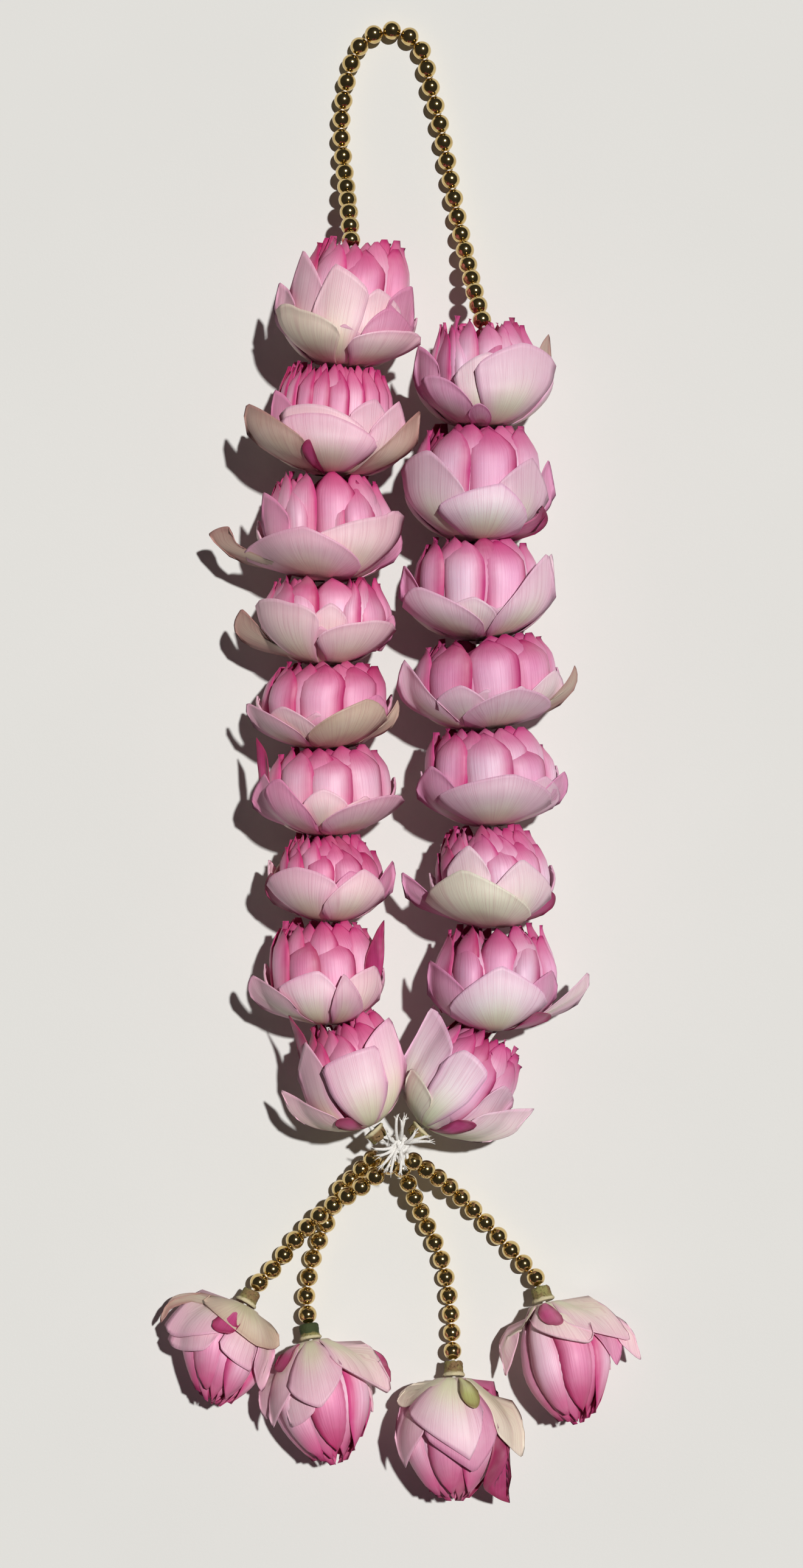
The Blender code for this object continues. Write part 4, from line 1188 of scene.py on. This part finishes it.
class NodeSheet:
    """A material's node tree, with short ways to add and link its nodes."""

    def __init__(self, name: str) -> None:
        """Start a material with its Principled shader.

        Args:
            name: the material's name.
        """
        self.material = bpy.data.materials.new(name)
        self.material.use_nodes = True
        self.tree = self.material.node_tree
        self.shader = self.tree.nodes["Principled BSDF"]

    def add(self, kind: str, inputs: dict, **settings: object) -> bpy.types.Node:
        """Add a node.

        Args:
            kind: the node's type.
            inputs: the socket or the value for each of its inputs.
            settings: values of the node's own properties.

        Returns:
            The node.
        """
        node = self.tree.nodes.new(kind)
        for key, value in settings.items():
            setattr(node, key, value)
        for key, value in inputs.items():
            if isinstance(value, Socket):
                self.tree.links.new(value, node.inputs[key])
            else:
                node.inputs[key].default_value = value
        return node

    def maths(self, operation: str, first: object, second: object = 0.5) -> Socket:
        """A number worked out from one or two others."""
        return self.add("ShaderNodeMath", {0: first, 1: second}, operation=operation).outputs[0]

    def blend(self, share: object, first: object, second: object, kind: str = "MIX") -> Socket:
        """A colour between two others."""
        node = self.add("ShaderNodeMix", {0: share, 6: first, 7: second}, data_type="RGBA", blend_type=kind)
        return node.outputs[2]

    def step(self, value: object, low: float, high: float, start: float = 0.0, end: float = 1.0) -> Socket:
        """A smooth step from start, at low, to end, at high."""
        inputs = {"Value": value, "From Min": low, "From Max": high, "To Min": start, "To Max": end}
        return self.add("ShaderNodeMapRange", inputs, interpolation_type="SMOOTHSTEP").outputs[0]

    def named(self, name: str, output: str = "Fac") -> Socket:
        """One of the piece's own attributes, as a number or as its Color."""
        return self.add("ShaderNodeAttribute", {}, attribute_name=name).outputs[output]

    def noise(self, place: object, scale: float, detail: float = 3.0, rough: float = 0.6) -> Socket:
        """A cloudy number from 0 to 1."""
        inputs = {"Vector": place, "Scale": scale, "Detail": detail, "Roughness": rough}
        return self.add("ShaderNodeTexNoise", inputs).outputs[0]

    def place(self) -> Socket:
        """The place on the object."""
        return self.add("ShaderNodeTexCoord", {}).outputs["Object"]

    def surface(self, colour: object, height: object, strength: float, distance: float) -> None:
        """Link the colour and the relief to the shader.

        Args:
            colour: the surface's colour.
            height: the height of the relief, from 0 to 1.
            strength: how strongly the relief shows.
            distance: how deep it is, in metres.
        """
        bump = self.add("ShaderNodeBump", {"Strength": strength, "Distance": distance, "Height": height})
        self.tree.links.new(colour, self.shader.inputs["Base Color"])
        self.tree.links.new(bump.outputs[0], self.shader.inputs["Normal"])

    def set(self, **values: object) -> Material:
        """Set the shader's own sockets.

        Args:
            values: a value for each socket, with underscores for the spaces in its name.

        Returns:
            The finished material.
        """
        for key, value in values.items():
            self.shader.inputs[key.replace("_", " ")].default_value = value
        return self.material


@dataclass(frozen=True)
class PetalFinish:
    """Finely veined lotus petal, with its rim in its own colour and its flanks darkened towards it, partly as
    painted shade between overlapping petals.
    """

    name: str = "lotus_petal"
    veins: float = 60.0
    vein_depth: float = 0.42
    cloud: float = 55.0
    vein_shade: Colour = (0.72, 0.46, 0.58, 1.0)
    bloom: Colour = (0.95, 0.88, 0.88, 1.0)
    margin: float = 2.2
    relief: float = 0.00045
    roughness: float = 0.52

    def build(self) -> Material:
        """Lay out the finish on the petals' own UV map and attributes.

        Returns:
            The material.
        """
        sheet = NodeSheet(self.name)
        spread = sheet.add("ShaderNodeUVMap", {}, uv_map="petal")
        parts = sheet.add("ShaderNodeSeparateXYZ", {0: spread.outputs[0]})
        across, along = parts.outputs[0], parts.outputs[1]
        seed, edge, flank = (sheet.named(f"petal_{part}") for part in ("seed", "edge", "flank"))
        root, tint, rim = (sheet.named(f"petal_{part}", "Color") for part in ("root", "tint", "rim"))
        wide, long = sheet.maths("MULTIPLY", across, self.veins), sheet.maths("MULTIPLY", along, 1.1)
        fan = {0: wide, 1: long, 2: seed}
        vein = sheet.noise(sheet.add("ShaderNodeCombineXYZ", fan).outputs[0], 1.0, 2.0, 0.55)
        cloud = sheet.noise(sheet.place(), self.cloud)
        colour = sheet.blend(sheet.step(along, 0.05, 0.65), root, tint)
        # The flanks take the rim colour: partly the petals' own deeper edges, partly painted shade where
        # petals overlap
        colour = sheet.blend(flank, colour, rim)
        wander = sheet.maths("ADD", edge, sheet.step(cloud, 0.3, 0.7, -0.4, 0.4))
        colour = sheet.blend(sheet.step(wander, 0.0, self.margin, 0.95, 0.0), colour, rim)
        dark = sheet.blend(1.0, colour, self.vein_shade, "MULTIPLY")
        colour = sheet.blend(sheet.step(vein, 0.42, 0.72, 0.0, self.vein_depth), colour, dark)
        pale = sheet.blend(0.35, colour, self.bloom)
        colour = sheet.blend(sheet.step(cloud, 0.45, 0.8, 0.0, 0.35), colour, pale)
        height = sheet.maths("ADD", sheet.maths("MULTIPLY", vein, 0.6), sheet.maths("MULTIPLY", cloud, 0.4))
        sheet.surface(colour, height, 0.4, self.relief)
        return sheet.set(
            Roughness=self.roughness,
            Subsurface_Weight=0.06,
            Subsurface_Radius=(1.0, 0.35, 0.4),
            Subsurface_Scale=0.002,
        )


@dataclass(frozen=True)
class GoldFinish:
    """Polished gold coat with the faint unevenness of a cheap bead."""

    name: str = "gold_bead"
    bright: Colour = (0.74, 0.56, 0.25, 1.0)
    dull: Colour = (0.58, 0.42, 0.17, 1.0)
    cloud: float = 260.0
    grain: float = 1500.0
    roughness: float = 0.13

    def build(self) -> Material:
        """Lay out the finish.

        Returns:
            The material.
        """
        sheet = NodeSheet(self.name)
        place = sheet.place()
        cloud = sheet.noise(place, self.cloud)
        grain = sheet.noise(place, self.grain, 2.0)
        colour = sheet.blend(sheet.step(cloud, 0.35, 0.7), self.bright, self.dull)
        sheet.surface(colour, sheet.maths("ADD", cloud, sheet.maths("MULTIPLY", grain, 0.3)), 0.12, 0.0002)
        return sheet.set(Metallic=1.0, Roughness=self.roughness)


@dataclass(frozen=True)
class StemFinish:
    """Cut lotus stem, brown and olive, with darker pores, a pale collar and a green skin."""

    name: str = "dry_stem"
    brown: Colour = (0.20, 0.12, 0.05, 1.0)
    olive: Colour = (0.26, 0.24, 0.08, 1.0)
    pores: Colour = (0.35, 0.3, 0.25, 1.0)
    skin: Colour = (0.035, 0.05, 0.012, 1.0)
    collar: Colour = (0.62, 0.55, 0.34, 1.0)
    cloud: float = 180.0
    grain: float = 1100.0
    roughness: float = 0.85

    def build(self) -> Material:
        """Lay out the finish on the stems' own attributes.

        Returns:
            The material.
        """
        sheet = NodeSheet(self.name)
        place = sheet.place()
        cloud = sheet.noise(place, self.cloud, 4.0)
        grain = sheet.noise(place, self.grain)
        depth, green = sheet.named("stem_depth"), sheet.named("stem_green")
        colour = sheet.blend(sheet.step(cloud, 0.38, 0.62), self.brown, self.olive)
        dark = sheet.blend(1.0, colour, self.pores, "MULTIPLY")
        colour = sheet.blend(sheet.step(grain, 0.5, 0.68, 0.0, 0.85), colour, dark)
        rough = sheet.maths("ADD", depth, sheet.step(cloud, 0.3, 0.7, -0.08, 0.08))
        colour = sheet.blend(sheet.step(rough, 0.14, 0.30, 0.9, 0.0), colour, self.collar)
        colour = sheet.blend(sheet.maths("MULTIPLY", green, sheet.step(rough, 0.34, 0.44)), colour, self.skin)
        sheet.surface(colour, sheet.maths("ADD", cloud, grain), 0.6, 0.0005)
        return sheet.set(Roughness=self.roughness)


@dataclass(frozen=True)
class CottonFinish:
    """Soft white cotton string with loose fibres."""

    name: str = "white_cotton"
    light: Colour = (0.86, 0.85, 0.82, 1.0)
    shade: Colour = (0.70, 0.67, 0.62, 1.0)
    fibre: float = 1800.0
    cloud: float = 300.0
    roughness: float = 0.9
    sheen: float = 0.3

    def build(self) -> Material:
        """Lay out the finish.

        Returns:
            The material.
        """
        sheet = NodeSheet(self.name)
        place = sheet.place()
        fibre = sheet.noise(place, self.fibre, 4.0, 0.7)
        cloud = sheet.noise(place, self.cloud)
        colour = sheet.blend(sheet.step(fibre, 0.4, 0.65), self.light, self.shade)
        sheet.surface(colour, sheet.maths("ADD", fibre, cloud), 0.7, 0.0003)
        return sheet.set(Roughness=self.roughness, Sheen_Weight=self.sheen)


@dataclass(frozen=True)
class PaperFinish:
    """Pale paper that the garland lies on."""

    name: str = "pale_paper"
    shade: Colour = (0.717, 0.716, 0.69, 1.0)
    light: Colour = (0.757, 0.756, 0.73, 1.0)
    cloud: float = 6.0
    grain: float = 900.0
    roughness: float = 0.9

    def build(self) -> Material:
        """Lay out the finish.

        Returns:
            The material.
        """
        sheet = NodeSheet(self.name)
        cloud = sheet.noise(sheet.place(), self.cloud)
        grain = sheet.noise(sheet.place(), self.grain)
        sheet.surface(sheet.blend(cloud, self.shade, self.light), grain, 0.15, 0.0002)
        return sheet.set(Roughness=self.roughness)


@dataclass(frozen=True)
class Studio:
    """Pale paper, a key light from the upper right, a weak fill and the camera straight above."""

    paper_half: float = 3000.0
    distance: float = 1300.0
    lens: float = 70.42
    sensor: float = 36.0
    key_from: Point = (0.27, 0.24, 0.93)
    key_strength: float = 3.3
    key_softness: float = 2.0
    key_colour: Point = (1.0, 0.985, 0.97)
    fill: float = 0.038
    fill_colour: Colour = (1.0, 0.96, 0.95, 1.0)

    def lights(self) -> None:
        """Add the key light and the fill."""
        world = bpy.data.worlds.new("studio")
        world.use_nodes = True
        sky = world.node_tree.nodes["Background"]
        sky.inputs[0].default_value = self.fill_colour
        sky.inputs[1].default_value = self.fill
        bpy.context.scene.world = world
        key = bpy.data.lights.new("key", "SUN")
        key.energy = self.key_strength
        key.angle = math.radians(self.key_softness)
        key.color = self.key_colour
        lamp = bpy.data.objects.new("key", key)
        lamp.rotation_euler = Vector(self.key_from).to_track_quat("Z", "Y").to_euler()
        bpy.context.scene.collection.objects.link(lamp)

    def camera(self) -> None:
        """Add the camera, which looks straight down."""
        view = bpy.data.cameras.new("camera")
        view.sensor_fit = "VERTICAL"
        view.sensor_height = self.sensor
        view.lens = self.lens
        camera = bpy.data.objects.new("camera", view)
        camera.location = (SHIFT + Vector((0, 0, self.distance))) * MM
        bpy.context.scene.collection.objects.link(camera)
        bpy.context.scene.camera = camera
        bpy.context.scene.view_settings.view_transform = "Standard"

    def build(self) -> None:
        """Add the floor, the lights and the camera."""
        bm = bmesh.new()
        bmesh.ops.create_grid(bm, x_segments=1, y_segments=1, size=self.paper_half)
        object_from(bm, "paper", PaperFinish().build())
        self.lights()
        self.camera()


@dataclass(frozen=True)
class Garland:
    """The whole garland: its strands, tassels, beads, stems and knot."""

    petal: Material
    gold: Material
    stem: Material
    cotton: Material
    seat_radius: float = 8.0
    seat_gap: float = 0.4
    knot_gap: float = 5.2
    strand_stub: float = 5.5
    tassel_stub: float = 6.6
    stub_radius: float = 4.2
    thread_depth: float = 10.0
    green_stub: int = 2

    def strand(self, side: str, line: Sequence[Point], rows: Sequence[BloomRow]) -> None:
        """Build the blooms of one strand.

        Args:
            side: left or right.
            line: the points where the blooms sit on each other, from the top.
            rows: what the picture shows of each bloom, from the top.
        """
        points = [Vector(point) for point in line]
        for number, row in enumerate(rows, start=1):
            base, top = points[number], points[number - 1]
            above = points[max(0, number - 2)] - top
            drop = self.seat_radius * math.sin(above.angle(top - base, 0.0))
            ends = (line[number], line[number - 1])
            bloom = Bloom(f"lotus_{side}_{number}", row, ends, CASTS[side], drop=drop)
            dress(bloom.build(self.petal), f"bloom_{side}_{number}")

    def stub(
        self, place: str, ends: tuple[Point, Point], target: Point, length: float, green: float = 0.0
    ) -> Vector:
        """Build a cut stem under a bloom, turned half way to its thread.

        Args:
            place: the end of the stem's name.
            ends: the base and the top of the bloom's axis.
            target: where its thread runs to.
            length: how far the stem reaches from where it starts.
            green: 1 for a fresh green stem.

        Returns:
            The far end of the stem.
        """
        base = Vector(ends[0])
        back = (base - Vector(ends[1])).normalized()
        ahead = (Vector(target) - base).normalized()
        heading = (back + ahead).normalized()
        start = self.seat_gap + self.stub_radius * math.tan(heading.angle(back))
        far = base + heading * (start + length)
        StemStub(f"stem_{place}", f"stub_{place}", base + heading * start, far, green).build(self.stem)
        return far

    def tassel(self, number: int, ends: tuple[Point, Point], row: BloomRow, route: tuple[Point, ...]) -> None:
        """Build a hanging bloom, its cut stem and its string of beads.

        Args:
            number: its number from the left.
            ends: the base and the top of the bloom's axis.
            row: what the picture shows of the bloom.
            route: the route of its beads, from the knot.
        """
        bloom = Bloom(f"lotus_tassel_{number}", row, ends, CASTS["tassel"], closed=True)
        dress(bloom.build(self.petal), f"tassel_bloom_{number}")
        green = float(number == self.green_stub)
        far = self.stub(f"tassel_{number}", ends, route[-1], self.tassel_stub, green)
        lead = (towards(KNOT_CENTRE, route[0], self.knot_gap),)
        tail = (far, Vector(ends[0]), towards(ends[0], ends[1], self.thread_depth))
        string = BeadString(f"beads_{number}", f"bead_string_{number}", route, lead, tail)
        string.build(self.gold, self.cotton)

    def build(self) -> None:
        """Build every piece."""
        self.strand("left", LEFT_LINE, LEFT_BLOOMS)
        self.strand("right", RIGHT_LINE, RIGHT_BLOOMS)
        for side, line in (("left", LEFT_LINE), ("right", RIGHT_LINE)):
            self.stub(side, (line[-1], line[-2]), KNOT_CENTRE, self.strand_stub)
        BeadString("beads_loop", "bead_loop", LOOP_ROUTE).build(self.gold, self.cotton)
        for number, parts in enumerate(zip(TASSEL_ENDS, TASSEL_BLOOMS, TASSEL_ROUTES), start=1):
            self.tassel(number, *parts)
        CottonKnot(Vector(KNOT_CENTRE)).build(self.cotton)
        for name in ("thread_left", "thread_right"):
            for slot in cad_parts[name].material_slots:
                slot.material = self.cotton


def main() -> None:
    """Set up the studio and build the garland."""
    logging.basicConfig(level=logging.INFO, format="%(message)s")
    Studio().build()
    Garland(PetalFinish().build(), GoldFinish().build(), StemFinish().build(), CottonFinish().build()).build()


if __name__ == "__main__":
    main()
